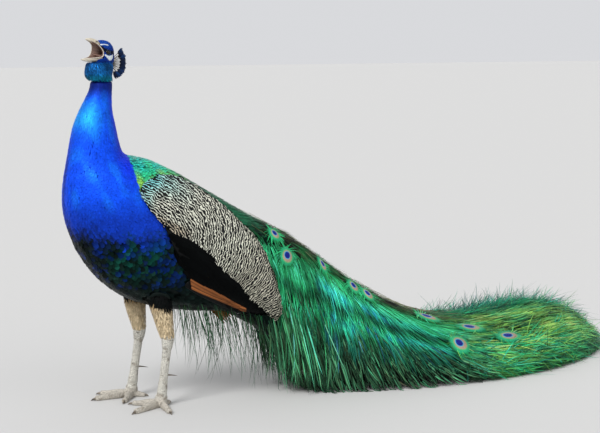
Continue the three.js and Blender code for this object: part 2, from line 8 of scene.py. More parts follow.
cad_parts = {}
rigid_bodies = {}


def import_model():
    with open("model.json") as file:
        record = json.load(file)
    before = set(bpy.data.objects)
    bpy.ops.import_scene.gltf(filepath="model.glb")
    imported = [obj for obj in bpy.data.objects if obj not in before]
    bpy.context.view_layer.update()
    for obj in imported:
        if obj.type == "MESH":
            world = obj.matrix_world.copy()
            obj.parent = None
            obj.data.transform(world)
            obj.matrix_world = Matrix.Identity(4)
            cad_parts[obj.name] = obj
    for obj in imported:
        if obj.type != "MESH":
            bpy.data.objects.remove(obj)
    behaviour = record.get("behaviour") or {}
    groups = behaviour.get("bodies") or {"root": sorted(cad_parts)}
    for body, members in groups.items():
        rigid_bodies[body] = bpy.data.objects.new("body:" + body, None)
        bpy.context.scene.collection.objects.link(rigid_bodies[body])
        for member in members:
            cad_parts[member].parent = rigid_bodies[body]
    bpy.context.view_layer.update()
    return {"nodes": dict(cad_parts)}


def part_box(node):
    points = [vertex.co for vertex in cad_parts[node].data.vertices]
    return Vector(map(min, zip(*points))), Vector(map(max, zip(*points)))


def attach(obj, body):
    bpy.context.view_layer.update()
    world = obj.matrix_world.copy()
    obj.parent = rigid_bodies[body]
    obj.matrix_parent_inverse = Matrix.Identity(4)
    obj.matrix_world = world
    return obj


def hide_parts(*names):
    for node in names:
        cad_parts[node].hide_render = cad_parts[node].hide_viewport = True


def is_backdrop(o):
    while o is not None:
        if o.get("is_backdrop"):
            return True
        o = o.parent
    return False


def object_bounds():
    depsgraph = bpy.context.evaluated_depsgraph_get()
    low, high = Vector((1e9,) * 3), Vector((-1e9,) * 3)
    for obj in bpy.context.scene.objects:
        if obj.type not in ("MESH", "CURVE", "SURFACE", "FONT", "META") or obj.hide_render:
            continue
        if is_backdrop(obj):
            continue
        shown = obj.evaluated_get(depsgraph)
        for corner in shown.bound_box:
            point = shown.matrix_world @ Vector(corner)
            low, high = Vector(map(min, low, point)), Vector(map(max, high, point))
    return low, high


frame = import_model()
nodes = frame["nodes"]
for name in ("Cube", "Light", "Camera"):  # what a new file opens with
    if name in bpy.data.objects:
        bpy.data.objects.remove(bpy.data.objects[name])
scene = bpy.context.scene
dice = np.random.default_rng(23)  # the one source of all small irregularities
sideNames = ("left", "right")
sideSigns = (1, -1)

# All shaping below is in millimetres from a point on the floor between the feet: x to the bird's
# left, y to its tail, z up. inFrame and inBird go to the frame's metres and back.
tailReach = 1.5458  # metres from that point to the end of the train
trunkLow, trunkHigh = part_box("trunk")
birdOrigin = np.array([(trunkLow.x + trunkHigh.x) / 2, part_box("train_tip")[1].y - tailReach, 0])


def inFrame(points):
    return np.asarray(points, float) / 1000 + birdOrigin


def inBird(points):
    return (np.asarray(points, float) - birdOrigin) * 1000


headTurn = math.radians(20)  # the head looks to its left, turned about an upright line through the nape
napeLine = -110  # where that line stands along y


def turned(points, angle):
    points = np.array(points, float)
    x, y = points[..., 0].copy(), points[..., 1] - napeLine
    points[..., 0] = x * math.cos(angle) - y * math.sin(angle)
    points[..., 1] = x * math.sin(angle) + y * math.cos(angle) + napeLine
    return points


def turnedWay(way):  # a direction of the unturned head, turned with it
    nape = np.array([0, napeLine, 0])
    return turned(np.asarray(way) + nape, headTurn) - nape


# small helpers

def deselectAll():
    if bpy.context.object and bpy.context.object.mode != "OBJECT":
        bpy.ops.object.mode_set(mode="OBJECT")
    bpy.ops.object.select_all(action="DESELECT")


def pick(thing):
    deselectAll()
    thing.select_set(True)
    bpy.context.view_layer.objects.active = thing


def openEdit():
    bpy.ops.object.mode_set(mode="EDIT")
    bpy.ops.mesh.select_all(action="SELECT")


def closeEdit():
    bpy.ops.object.mode_set(mode="OBJECT")


def applyModifier(thing, kind, **values):
    step = thing.modifiers.new(kind.lower(), kind)
    for name, value in values.items():
        setattr(step, name, value)
    pick(thing)
    bpy.ops.object.modifier_apply(modifier=step.name)


def linked(name, mesh):
    thing = bpy.data.objects.new(name, mesh)
    scene.collection.objects.link(thing)
    return thing


def joined(things, name):
    deselectAll()
    for thing in things:
        thing.select_set(True)
    bpy.context.view_layer.objects.active = things[0]
    if len(things) > 1:
        bpy.ops.object.join()
    whole = bpy.context.view_layer.objects.active
    whole.name = whole.data.name = name
    return whole


def readPoints(mesh, field="co"):
    flat = np.empty(len(mesh.vertices) * 3)
    mesh.vertices.foreach_get(field, flat)
    return flat.reshape(-1, 3)


def writePoints(mesh, points):
    mesh.vertices.foreach_set("co", np.asarray(points, float).ravel())
    mesh.update()


def birdPoints(thing):
    return inBird(readPoints(thing.data))


def placePoints(thing, points):
    writePoints(thing.data, inFrame(points))


def trianglesOf(mesh):
    mesh.calc_loop_triangles()
    corners = np.empty(len(mesh.loop_triangles) * 3, np.int32)
    mesh.loop_triangles.foreach_get("vertices", corners)
    return corners.reshape(-1, 3)


def stacked(*columns):  # numbers and columns side by side
    return np.stack(np.broadcast_arrays(*columns), -1)


def unit(vectors):
    return vectors / np.maximum(np.linalg.norm(vectors, axis=-1, keepdims=True), 1e-9)


def alongSurface(heading, normal):  # the part of a direction that lies in the surface
    return unit(heading - normal * (heading * normal).sum(1, keepdims=True))


def ramp(value, start, end):
    share = np.clip((value - start) / (end - start), 0, 1)
    return share * share * (3 - 2 * share)


def hump(value, middle, width):
    return np.exp(-((value - middle) / width) ** 2)


def flatTone(colour, *shape):
    return np.tile(np.array(colour), (*shape, 1))


def blendTone(tone, other, share):
    return tone + (np.asarray(other, float) - tone) * np.asarray(share)[..., None]


def layered(tone, *layers):  # lays colours over a tone, each where its share says
    for colour, share in layers:
        tone = blendTone(tone, colour, share)
    return tone


def paint(mesh, tones):
    layer = mesh.color_attributes.new("tone", "FLOAT_COLOR", "POINT")
    full = np.ones((len(tones), 4))
    full[:, :3] = np.clip(tones, 0, 1)
    layer.data.foreach_set("color", full.ravel())


def storeValue(mesh, name, values):
    mesh.attributes.new(name, "FLOAT", "POINT").data.foreach_set("value", values)


def finishPiece(piece, material, slot, *replaced):
    piece.data.shade_smooth()
    piece.data.materials.clear()
    piece.data.materials.append(material)
    if replaced:
        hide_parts(*replaced)
    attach(piece, "root")
    return piece


def nodeCopy(name):
    twin = linked("blank_" + name, nodes[name].data.copy())
    twin.data.materials.clear()
    pick(twin)
    openEdit()
    bpy.ops.mesh.remove_doubles(threshold=0.00001)
    closeEdit()
    return twin


def relax(mesh, passes, shares=(0.55, -0.575)):
    # draws each point to the middle of its neighbours and back: facets go, the thickness stays
    place = readPoints(mesh)
    pairs = np.empty(len(mesh.edges) * 2, np.int32)
    mesh.edges.foreach_get("vertices", pairs)
    one, two = pairs.reshape(-1, 2).T
    count = np.maximum(np.bincount(pairs, minlength=len(place)), 1)[:, None]
    for step in range(passes):
        for share in shares:
            ends = ((one, two), (two, one))
            total = [sum(np.bincount(a, row[b], len(row)) for a, b in ends) for row in place.T]
            place += share * (np.stack(total, 1) / count - place)
    writePoints(mesh, place)


def remesh(thing, voxel):
    applyModifier(thing, "REMESH", mode="VOXEL", voxel_size=voxel)


nodeSwell = 0.0004  # metres, closes the hairline cuts between the nodes


def blankOf(name, members, voxel, passes):
    thing = joined([nodeCopy(member) for member in members], name)
    applyModifier(thing, "DISPLACE", strength=nodeSwell, mid_level=0)
    remesh(thing, voxel)
    relax(thing.data, passes)
    return thing


# surfaces that the coat is laid on

def guideOf(thing):
    corners = trianglesOf(thing.data)
    points = birdPoints(thing)
    return {
        "points": points,
        "corners": corners,
        "slopes": readPoints(thing.data, "normal"),
        "tree": BVHTree.FromPolygons(points.tolist(), corners.tolist()),
    }


def settle(guide, spots):  # the nearest points of the surface, with their smooth normals
    find = guide["tree"].find_nearest
    hits = [find(spot) for spot in spots.tolist()]
    place = np.array([hit[0] for hit in hits])
    corners = guide["corners"][[hit[2] for hit in hits]]
    a, b, c = (guide["points"][corners[:, i]] for i in range(3))
    ab, ac, ap = b - a, c - a, place - a
    d00, d01, d11 = (ab * ab).sum(1), (ab * ac).sum(1), (ac * ac).sum(1)
    d20, d21 = (ap * ab).sum(1), (ap * ac).sum(1)
    scale = np.maximum(d00 * d11 - d01 * d01, 1e-12)
    second = np.clip((d11 * d20 - d01 * d21) / scale, 0, 1)[:, None]
    third = np.clip((d00 * d21 - d01 * d20) / scale, 0, 1)[:, None]
    one, two, three = (guide["slopes"][corners[:, i]] for i in range(3))
    return place, unit(one * (1 - second - third) + two * second + three * third)


def depthIn(name, spots):  # how far spots lie inside one of the surfaces, negative outside
    place, normal = settle(guides[name], spots)
    return ((place - spots) * normal).sum(1)


closest = 0.82  # how near two roots may stand, as a share of the spacing
anywhere = (-1e4, 1e4)


def within(y=anywhere, z=anywhere):  # a rule for scatter
    def keep(spots):
        return (spots[:, 1] > y[0]) & (spots[:, 1] < y[1]) & (spots[:, 2] > z[0]) & (spots[:, 2] < z[1])
    return keep


def scatter(guide, spacing, keep, crowd=2.4):  # evenly spread roots where keep allows them
    a, b, c = (guide["points"][guide["corners"][:, i]] for i in range(3))
    area = 0.5 * np.linalg.norm(np.cross(b - a, c - a), axis=1)
    area = area * keep((a + b + c) / 3)
    count = int(area.sum() / spacing ** 2 * crowd)
    face = dice.choice(len(area), count, p=area / area.sum())
    u, v = dice.random((2, count))
    flip = u + v > 1
    u, v = np.where(flip, 1 - u, u)[:, None], np.where(flip, 1 - v, v)[:, None]
    spots = a[face] + (b[face] - a[face]) * u + (c[face] - a[face]) * v
    taken, kept, near = {}, [], (spacing * closest) ** 2
    cells = np.floor(spots / spacing).astype(int).tolist()
    around = [(i, j, k) for i in (-1, 0, 1) for j in (-1, 0, 1) for k in (-1, 0, 1)]
    for index, ((x, y, z), (i, j, k)) in enumerate(zip(spots.tolist(), cells)):
        clash = False
        for di, dj, dk in around:
            for px, py, pz in taken.get((i + di, j + dj, k + dk), ()):
                if (px - x) ** 2 + (py - y) ** 2 + (pz - z) ** 2 < near:
                    clash = True
                    break
            if clash:
                break
        if not clash:
            taken.setdefault((i, j, k), []).append((x, y, z))
            kept.append(index)
    return spots[kept]


# one vane, modelled once, and the laying of many

def takeShape(thing):  # reads a modelled shape and clears it away
    points = readPoints(thing.data)
    corners = np.array([list(face.vertices) for face in thing.data.polygons])
    bpy.data.objects.remove(thing)
    return points, corners


def patternVane(name, cuts):
    deselectAll()
    bpy.ops.mesh.primitive_cylinder_add(vertices=3, radius=1, depth=1, location=(0, 0, 0.5))
    vane = bpy.context.object
    vane.name = name
    bpy.ops.object.transform_apply(location=True, rotation=False, scale=False)
    bpy.ops.object.mode_set(mode="EDIT")
    for cut in cuts:
        bpy.ops.mesh.select_all(action="SELECT")
        bpy.ops.mesh.bisect(plane_co=(0, 0, cut), plane_no=(0, 0, 1))
    bpy.ops.mesh.select_all(action="DESELECT")
    closeEdit()
    for vertex in vane.data.vertices:
        vertex.select = vertex.co.z > 0.999  # the far end closes to a point
    bpy.ops.object.mode_set(mode="EDIT")
    bpy.ops.mesh.merge(type="CENTER")
    bpy.ops.mesh.select_all(action="SELECT")
    bpy.ops.mesh.quads_convert_to_tris()
    closeEdit()
    points, corners = takeShape(vane)
    marks, station = np.unique(np.round(points[:, 2], 4), return_inverse=True)
    return {
        "across": points[:, 0] / 0.866,  # the corners of a triangle stand that far out
        "up": (points[:, 1] + 0.5) / 1.5,
        "along": points[:, 2],
        "marks": marks,
        "station": station,
        "corners": corners,
    }


def unitMap(pattern):
    return stacked(pattern["across"] * 0.5 + 0.5, pattern["along"])


def tracePath(guide, pattern, roots, flow, length, lift, yaw, rise=1.3):
    # each line starts at its root and steps along the flow, held to the surface, lifting to its tip
    marks, number = pattern["marks"], len(roots)
    length = np.broadcast_to(np.asarray(length, float), number)
    twist = np.radians(dice.normal(0, yaw, number))[:, None]
    place, normal = settle(guide, roots)
    low, high = (np.broadcast_to(np.asarray(level, float), number) for level in lift)
    path, ups = [], []
    for k, mark in enumerate(marks):
        if k:
            heading = alongSurface(flow(place, normal, mark), normal)
            heading = heading * np.cos(twist) + np.cross(normal, heading) * np.sin(twist)
            place, normal = settle(guide, place + heading * ((mark - marks[k - 1]) * length)[:, None])
        path.append(place + normal * (low + (high - low) * mark ** rise)[:, None])
        ups.append(normal)
    return np.array(path), np.array(ups)


def vanesAlong(pattern, shape, path, ups, width, thick):
    station, number = pattern["station"], path.shape[1]
    width = np.broadcast_to(np.asarray(width, float), number)
    heads = unit(np.gradient(path, axis=0) + 1e-9)
    sides = unit(np.cross(ups, heads))
    tops = np.cross(heads, sides)
    broad = np.interp(pattern["along"], *shape)
    points = (
        path[station]
        + sides[station] * (pattern["across"] * broad)[:, None, None] * width[None, :, None] / 2
        + tops[station] * (pattern["up"] * np.maximum(broad, 0.25))[:, None, None] * thick
    ).transpose(1, 0, 2)
    return {"points": points, "pattern": pattern, "roots": path[0]}


def layVanes(guide, pattern, shape, roots, flow, length, width, lift, thick, yaw):
    path, ups = tracePath(guide, pattern, roots, flow, length, lift, yaw)
    return vanesAlong(pattern, shape, path, ups, width, thick)


def tint(batch, tones, base, tip, swing=0):
    # each feather is a little lighter or darker than the next, with its own strengths at root and tip
    if swing:
        tones = tones * np.exp(dice.normal(0, swing, (len(tones), 1)))
    share = batch["pattern"]["along"][None, :, None]
    batch["tone"] = tones[:, None] * (base + (tip - base) * share)


coatSmooth = math.radians(52)  # edges sharper than this stay crisp
bakePatch = 0.003  # the side of one feather's patch on the baking map


def coatPiece(name, batches, material, slot, *replaced):  # joins laid batches into one finished piece
    points, corners, tones, vanes, bakes, extra, start = [], [], [], [], [], [], 0
    for batch in batches:
        pattern, laid = batch["pattern"], batch["points"]
        number, size = laid.shape[:2]
        flatMap = unitMap(pattern)
        starts = np.arange(number) * size + start
        points.append(laid.reshape(-1, 3))
        corners.append((pattern["corners"][None] + starts[:, None, None]).reshape(-1, 3))
        tones.append(np.broadcast_to(batch["tone"], laid.shape).reshape(-1, 3))
        vanes.append(np.tile(flatMap, (number, 1)))
        if "bakeMap" in batch:
            bakes.append(batch["bakeMap"].reshape(-1, 2))
        else:
            bakes.append((batch["bake"][:, None] + bakePatch * (flatMap - 0.5)[None]).reshape(-1, 2))
        extra.append(np.broadcast_to(batch.get("phase", 0), laid.shape[:2]).reshape(-1))
        start += number * size
    corners = np.concatenate(corners)
    mesh = bpy.data.meshes.new(name)
    mesh.vertices.add(start)
    mesh.vertices.foreach_set("co", inFrame(np.concatenate(points)).ravel())
    mesh.loops.add(corners.size)
    mesh.loops.foreach_set("vertex_index", corners.ravel().astype(np.int32))
    mesh.polygons.add(len(corners))
    mesh.polygons.foreach_set("loop_start", np.arange(0, corners.size, 3, dtype=np.int32))
    mesh.update(calc_edges=True)
    paint(mesh, np.concatenate(tones))
    if any("phase" in batch for batch in batches):
        storeValue(mesh, "bars", np.concatenate(extra))
    for label, grid in (("vane", np.concatenate(vanes)), ("OFBake", np.concatenate(bakes))):
        flat = np.clip(grid[corners.ravel()], 0, 1).ravel()
        mesh.uv_layers.new(name=label).data.foreach_set("uv", flat)
    finishPiece(linked(name, mesh), material, slot, *replaced)
    mesh.set_sharp_from_angle(angle=coatSmooth)
    print(f"{name}: {len(corners)} triangles")


roundVane = patternVane("roundVane", (0.4, 0.72, 0.92))
longVane = patternVane("longVane", (0.3, 0.62, 0.86))
# each vane with its breadth along its length
scaleVane = (roundVane, ((0, 0.4, 0.72, 0.92, 1), (0.5, 0.92, 1.0, 0.72, 0.2)))
slimVane = (longVane, ((0, 0.3, 0.62, 0.86, 1), (0.7, 1.0, 0.85, 0.5, 0.05)))
quillVane = (longVane, ((0, 1), (1.2, 0.7)))

# the bird's lines and markings

spineLine = np.array([  # y and z of the middle of the neck and back, head to train
    (-112, 880), (-110, 854), (-113.5, 829), (-126, 782), (-132, 734), (-131, 661), (-123, 614),
    (-101, 572), (-67, 526), (-25, 484), (21, 446), (76, 414), (139, 389), (202, 368), (273, 349), (360, 326),
], float)
wingLine = np.array([
    (-60, 583), (-45, 574), (-18, 571), (21, 553), (70, 530), (122, 502), (170, 461), (216, 414),
    (262, 371), (299, 317), (330, 258), (350, 205),
], float)


def alongLine(line, points):  # distance along the line, signed distance above it, and its direction
    start, step = line[:-1], np.diff(line, axis=0)
    size = np.linalg.norm(step, axis=1)
    before = np.concatenate([[0], np.cumsum(size)])
    flat = points[:, None, 1:] - start[None]
    share = np.clip((flat * step).sum(2) / size ** 2, 0, 1)
    away = np.linalg.norm(flat - share[..., None] * step, axis=2)
    best = away.argmin(1)
    rows = np.arange(len(points))
    run = before[best] + share[rows, best] * size[best]
    middle = (before[1:] + before[:-1]) / 2
    ways = step / size[:, None]
    heading = unit(stacked(*(np.interp(run, middle, way) for way in ways.T)))
    rel = flat[rows, best] - share[rows, best][:, None] * step[best]
    above = heading[:, 0] * rel[:, 1] - heading[:, 1] * rel[:, 0]
    return run, above, heading


def lineFlow(line):
    def flow(place, normal, mark):
        heading = alongLine(line, place)[2]
        return stacked(0.0, heading[:, 0], heading[:, 1])
    return flow


def jitter(points, size, seed, stretch=(1, 1, 1)):  # smooth irregular values from -1 to 1
    waves = np.random.default_rng(seed)
    points = points * np.array(stretch)
    total = np.zeros(len(points))
    for turn in range(5):
        way = waves.normal(0, 1, 3) / size * 2.2
        total += np.sin(points @ way + waves.random() * 6.3)
    return total / 3


bodyTones = {
    "royal": (0.004, 0.075, 0.80),
    "azure": (0.02, 0.42, 0.98),
    "violet": (0.006, 0.025, 0.66),
    "navy": (0.003, 0.012, 0.15),
    "lowBlue": (0.004, 0.04, 0.46),
    "belly": (0.0030, 0.0075, 0.0065),
    "bellyGreen": (0.003, 0.034, 0.024),
    "bellyBlue": (0.002, 0.013, 0.085),
    "emerald": (0.030, 0.66, 0.30),
    "golden": (0.30, 0.62, 0.06),
    "jade": (0.020, 0.58, 0.46),
    "deepGreen": (0.010, 0.15, 0.065),
}
backLine = ((480, 540, 566, 590, 640, 659, 700), (200, 120, -44, -48, -55, -66, 40))  # z, and y of its front
bellyRise = ((-170, -110, -40, 40), (22, 0, -6, 10))  # y, and how much higher the dark belly reaches there


def bodyTone(points):
    t = bodyTones
    above = alongLine(spineLine, points)[1]
    number = len(points)
    x, y, z = points.T
    wobble = jitter(points, 26, 5)
    front = ramp(-y, 112, 170)
    # the green back starts behind a line across the shoulders
    back = ramp(y - np.interp(z, *backLine) + 5 * wobble, -4, 4) * ramp(z, 470, 520)
    mantle = layered(
        flatTone(t["emerald"], number),
        (t["jade"], ramp(z + 16 * wobble, 612, 650)),
        (t["golden"], 0.85 * ramp(-z + 12 * wobble, -628, -600)),
        (t["deepGreen"], ramp(y, 40, 110)),
    )
    upper = layered(
        flatTone(t["royal"], number),
        # painted highlight: a band of azure round the upper front of the neck stands for the neck's sheen
        (t["azure"], 0.75 * hump(z + 8 * wobble, 770, 36) * ramp(-y, 105, 150)),
        (t["azure"], 0.16 * ramp(wobble, 0, 1)),
        (t["violet"], 0.8 * ramp(above, 18, 60) * ramp(z, 560, 640)),
        # painted shadow under the throat ruff: the neck turns navy just below it
        (t["navy"], 0.95 * ramp(z, 806, 846)),
        # painted shade: a darker navy line down the middle of the breast's front edge
        (t["navy"], 0.72 * hump(x, 0, 9) * front * (1 - ramp(z, 640, 720))),
        (t["lowBlue"], ramp(-z, -585, -500)),
        (t["deepGreen"], ramp(y, 40, 85)),
        (mantle, back),
    )
    # the belly and flanks
    spots = jitter(points, 9, 8)
    low = ramp(-z + 16 * wobble + 14 * spots + np.interp(y, *bellyRise), -490, -430)
    greenish = ramp(jitter(points, 30, 18) + 0.5 * spots, -0.5, 0.8) * ramp(z, 320, 400) * ramp(y, -150, -100)
    bluish = ramp(jitter(points, 16, 9) + 0.6 * ramp(y, -60, 10), 0.3, 1.0)
    bluish = bluish * ramp(z, 300, 360) * (1 - ramp(y, 30, 80))
    belly = layered(
        flatTone(t["belly"], number),
        (t["bellyGreen"], greenish),
        (t["bellyBlue"], 0.85 * bluish),
        (t["belly"], ramp(y, 60, 110) * (1 - back)),
    )
    return blendTone(upper, belly, low * (1 - back * ramp(z, 480, 520)))


wingTones = {
    "teal": (0.22, 0.66, 0.66),
    "cream": (0.76, 0.77, 0.64),
    "rear": (0.56, 0.55, 0.44),
    "buff": (0.50, 0.41, 0.29),
    "black": (0.0022, 0.0028, 0.003),
    "rufous": (0.235, 0.075, 0.018),
    "rufousDark": (0.11, 0.040, 0.012),
    "sand": (0.66, 0.53, 0.34),
    "sandDark": (0.30, 0.20, 0.10),
}


def covertTone(points):  # the light colour of the bars
    t = wingTones
    run, above = alongLine(wingLine, points)[:2]
    tealShare = 0.75 * ramp(-run, -190, -40) * ramp(above, -10, 40) + 0.6 * ramp(-run, -75, -30)
    return layered(
        flatTone(t["cream"], len(points)),
        (t["teal"], np.clip(tealShare, 0, 1)),
        (t["buff"], 0.85 * ramp(-above, 40, 54) * ramp(-run, -220, -150)),
        (t["rear"], ramp(run, 300, 420)),
    )


barSet = {  # bars to the millimetre at these distances along the wing
    "run": (0, 90, 220, 360, 640),
    "alongWing": (0.020, 0.035, 0.085, 0.145, 0.165),
    "acrossWing": (0.150, 0.145, 0.11, 0.06, 0.035),
    "shoulder": 0.07,
}


def covertPhase(points):  # counts the bars: along the wing in front, across it towards the tip
    run, above = alongLine(wingLine, points)[:2]
    grid = np.linspace(0, 640, 161)
    steep = np.interp(grid, barSet["run"], barSet["alongWing"])
    total = np.concatenate([[0], np.cumsum((steep[1:] + steep[:-1]) / 2 * np.diff(grid))])
    across = np.interp(run, barSet["run"], barSet["acrossWing"])
    return np.interp(run, grid, total) + above * across + barSet["shoulder"] * np.minimum(run - 30, 0)


headTones = {
    "crown": (0.010, 0.075, 0.42),
    "face": (0.005, 0.038, 0.30),
    "dark": (0.003, 0.008, 0.035),
    "white": (0.62, 0.68, 0.70),
    "throat": (0.004, 0.085, 0.27),
    "throatLow": (0.004, 0.16, 0.25),
    "lidLine": (0.07, 0.13, 0.20),
    "mouth": (0.21, 0.125, 0.095),
    "mouthShade": (0.045, 0.018, 0.014),
}
browLine = np.array([(13.0, -121.5, 945.0), (14.2, -110.0, 945.6), (15.9, -99.0, 943.8)])
cheekPatch = np.array([
    (-112.5, 921.5), (-110, 916), (-104, 909.5), (-98, 904.2), (-92, 905.8), (-87, 911.5), (-84.4, 919.5),
    (-87.5, 921.5), (-92, 918.6), (-97, 916.6), (-103, 917.2), (-108, 920),
])
darkStripe = ((-125, -108, -100, -84), (936, 931, 926, 925.5))  # y and z of its middle
eyeMiddle = np.array([20, -100.8, 925.7])
gapeMiddle, gapeSize = np.array([0, -118.5, 926]), np.array([10.9, 14.6, 13.4])


def toSegment(points, a, b):
    step = b - a
    share = np.clip(((points - a) @ step) / (step @ step), 0, 1)
    return np.linalg.norm(points - a - share[:, None] * step, axis=1)


def patchDepth(points, ring):  # how far points (y, z) lie inside an outline, negative outside
    inside = np.zeros(len(points), bool)
    nearest = np.full(len(points), 1e9)
    for a, b in zip(ring, np.roll(ring, -1, 0)):
        step = b - a
        nearest = np.minimum(nearest, toSegment(points, a, b))
        crosses = (a[1] > points[:, 1]) != (b[1] > points[:, 1])
        at = a[0] + (points[:, 1] - a[1]) / np.where(step[1] == 0, 1e-9, step[1]) * step[0]
        inside ^= crosses & (points[:, 0] < at)
    return np.where(inside, nearest, -nearest)


def faceMasks(points):  # points in the head's own unturned place
    mirrored = np.abs(points[:, 0])
    own = stacked(mirrored, points[:, 1], points[:, 2])
    brow = np.minimum(*(toSegment(own, a, b) for a, b in zip(browLine[:-1], browLine[1:])))
    cheek = np.where(mirrored > 8, patchDepth(own[:, 1:], cheekPatch), -9)
    eye = np.linalg.norm(own - eyeMiddle, axis=1)
    hollow = np.linalg.norm((points - gapeMiddle) / gapeSize, axis=1)
    return brow, cheek, eye, hollow


def inGape(own):  # the flesh between the two halves of the bill
    return (own[:, 1] < -110.5) & (own[:, 2] > 911.5) & (own[:, 2] < 940) & (np.abs(own[:, 0]) < 13.4)


def headTone(points):
    t = headTones
    own = turned(points, -headTurn)
    brow, cheek, eye, hollow = faceMasks(own)
    x, y, z = own.T
    stripe = np.abs(z - np.interp(y, *darkStripe))
    inMouth = np.maximum(ramp(-hollow, -1.06, -1.0) * (y < -103), inGape(own))
    # the mouth's flesh turns to painted shade deeper in, towards the throat
    flesh = blendTone(flatTone(t["mouth"], len(own)), t["mouthShade"], ramp(y, -118, -107))
    return layered(
        flatTone(t["face"], len(own)),
        (t["crown"], ramp(z, 934, 944)),
        (t["throat"], ramp(-z, -906, -896)),
        (t["throatLow"], ramp(-z, -880, -862)),
        (t["dark"], ramp(-stripe, -6.5, -3.5) * (np.abs(x) > 6) * ramp(-y, 76, 84)),
        (t["dark"], ramp(-eye, -8.4, -6.8)),
        (t["white"], ramp(-brow, -2.2, -1.3)),
        (t["white"], ramp(cheek, -0.5, 0.5)),
        (t["lidLine"], 0.8 * hump(eye, 6.9, 0.5)),
        (flesh, inMouth),
    )


# blanks: smooth copies of the flesh nodes

def pairOf(name):
    return [f"{name}_{side}" for side in sideNames]


bodyNodes = ["neck_upper", "neck_middle", "neck_lower", "breast", "trunk", "rump"]
trainNodes = ["train_root", "train_middle", "train_outer", "train_tip"]
wingNodes = pairOf("wing_coverts") + pairOf("wing_secondaries") + pairOf("wing_primaries")
blankSet = {  # what each one joins, the size of its faces in metres, and how often it is evened out
    "head": (["head", "throat"], 0.0011, 7),
    "body": (bodyNodes + ["train_root"], 0.005, 45),
    "trunk": (bodyNodes, 0.005, 45),
    "wings": (wingNodes, 0.0035, 22),
    "thighs": (pairOf("thigh"), 0.003, 16),
    "ruff": (["throat", "neck_upper"], 0.003, 26),
    "legs": (pairOf("shank") + pairOf("foot"), 0.0013, 8),
    "train": (["rump"] + trainNodes, 0.007, 50),
}
blanks = {name: blankOf("blank" + name.capitalize(), *values) for name, values in blankSet.items()}
legShape = {  # how much fuller the flesh is at each height
    "shankAt": (0, 14, 45, 70, 150, 175, 195, 230),
    "shankBy": (1.9, 3.0, 3.3, 1.6, 1.1, 3.2, 5.6, 4.6),
    "thighAt": (180, 215, 245, 290),
    "thighBy": (4.6, 3.4, 0.0, -3.0),
}
faceEnd = -111.5  # y of the corners of the mouth


def moveBlank(name, change):
    thing = blanks[name]
    placePoints(thing, change(birdPoints(thing), readPoints(thing.data, "normal")))


def openGape(points, normals):  # the face stops at the corners of the mouth
    own = turned(points, -headTurn)
    band = ramp(own[:, 2], 907, 912) * (1 - ramp(own[:, 2], 938, 945)) * (own[:, 2] < 960)
    own[:, 1] += band * (np.maximum(own[:, 1], faceEnd) - own[:, 1])
    return turned(own, headTurn)


def fullerLegs(points, normals):
    points = points + normals * np.interp(points[:, 2], legShape["shankAt"], legShape["shankBy"])[:, None]
    points[:, 2] = np.maximum(points[:, 2], 0.3)
    return points


def straighterThighs(points, normals):
    return points + normals * np.interp(points[:, 2], legShape["thighAt"], legShape["thighBy"])[:, None]


heights = birdPoints(blanks["head"])[:, 2]
throatShare = 0.6 * (ramp(heights, 874, 884) * (1 - ramp(heights, 905, 911)))[:, None]
relax(blanks["head"].data, 60, [throatShare])  # the crease between the head and the swollen throat
moveBlank("head", openGape)
moveBlank("legs", fullerLegs)
moveBlank("thighs", straighterThighs)
guides = {name: guideOf(thing) for name, thing in blanks.items()}
print("blanks ready")

# the skin: one mesh that all the flesh shares

skinSet = {
    "depth": {"head": 0.9, "trunk": 4.5, "wings": 2.2, "thighs": 3.0, "legs": 0.0},  # coat depth, mm
    "voxel": 0.0027,
    "keep": 0.285,  # share of the faces that is kept before the head and feet are refined
    "fineAbove": 863,
    "fineBelow": 182,
    "snap": 1.8,  # mm, how far a refined point may be drawn
}


def skinLayer(name, depth):
    layer = linked("layer_" + name, blanks[name].data.copy())
    writePoints(layer.data, readPoints(layer.data) - readPoints(layer.data, "normal") * depth / 1000)
    return layer


def refine(thing, chosen, rounds, guide, depth):  # smaller faces there, drawn onto the smooth surface
    for turn in range(rounds):
        points = birdPoints(thing)
        pick(thing)
        thing.data.vertices.foreach_set("select", np.zeros(len(points), bool))
        thing.data.edges.foreach_set("select", np.zeros(len(thing.data.edges), bool))
        corners = np.array([face.vertices[:3] for face in thing.data.polygons])
        thing.data.polygons.foreach_set("select", chosen(points)[corners].all(1))
        bpy.ops.object.mode_set(mode="EDIT")
        bpy.ops.mesh.subdivide(number_cuts=1)
        closeEdit()
    points = birdPoints(thing)
    rows = np.nonzero(chosen(points))[0]
    place, normal = settle(guide, points[rows])
    place -= normal * depth
    close = np.linalg.norm(place - points[rows], axis=1) < skinSet["snap"]
    points[rows[close]] = place[close]
    placePoints(thing, points)


def aboveNeck(points):
    return points[:, 2] > skinSet["fineAbove"]


def onLegs(points):
    return (points[:, 2] < skinSet["fineBelow"]) & (points[:, 1] < 150)


skin = joined([skinLayer(name, depth) for name, depth in skinSet["depth"].items()], "skin")
remesh(skin, skinSet["voxel"])
relax(skin.data, 3)
applyModifier(skin, "DECIMATE", ratio=skinSet["keep"])
refine(skin, aboveNeck, 2, guides["head"], skinSet["depth"]["head"])
refine(skin, onLegs, 1, guides["legs"], 0)
skin.data.validate()  # drops the few doubled faces that thinning leaves

# materials

def put(tree, kind, place=(0, 0), **values):
    node = tree.nodes.new(kind)
    node.location = place
    for name, value in values.items():
        if hasattr(node, name):
            setattr(node, name, value)
        else:
            node.inputs[name.replace("_", " ")].default_value = value
    return node


def wire(tree, *links):
    for start, end in links:
        tree.links.new(start, end)


def maths(tree, how, *terms):  # one Math node, fed by numbers or sockets
    node = put(tree, "ShaderNodeMath", operation=how)
    for socket, value in zip(node.inputs, terms):
        if isinstance(value, (int, float)):
            socket.default_value = value
        else:
            tree.links.new(value, socket)
    return node.outputs[0]


def times(tree, first, second):
    return maths(tree, "MULTIPLY", first, second)


def plus(tree, first, second):
    return maths(tree, "ADD", first, second)


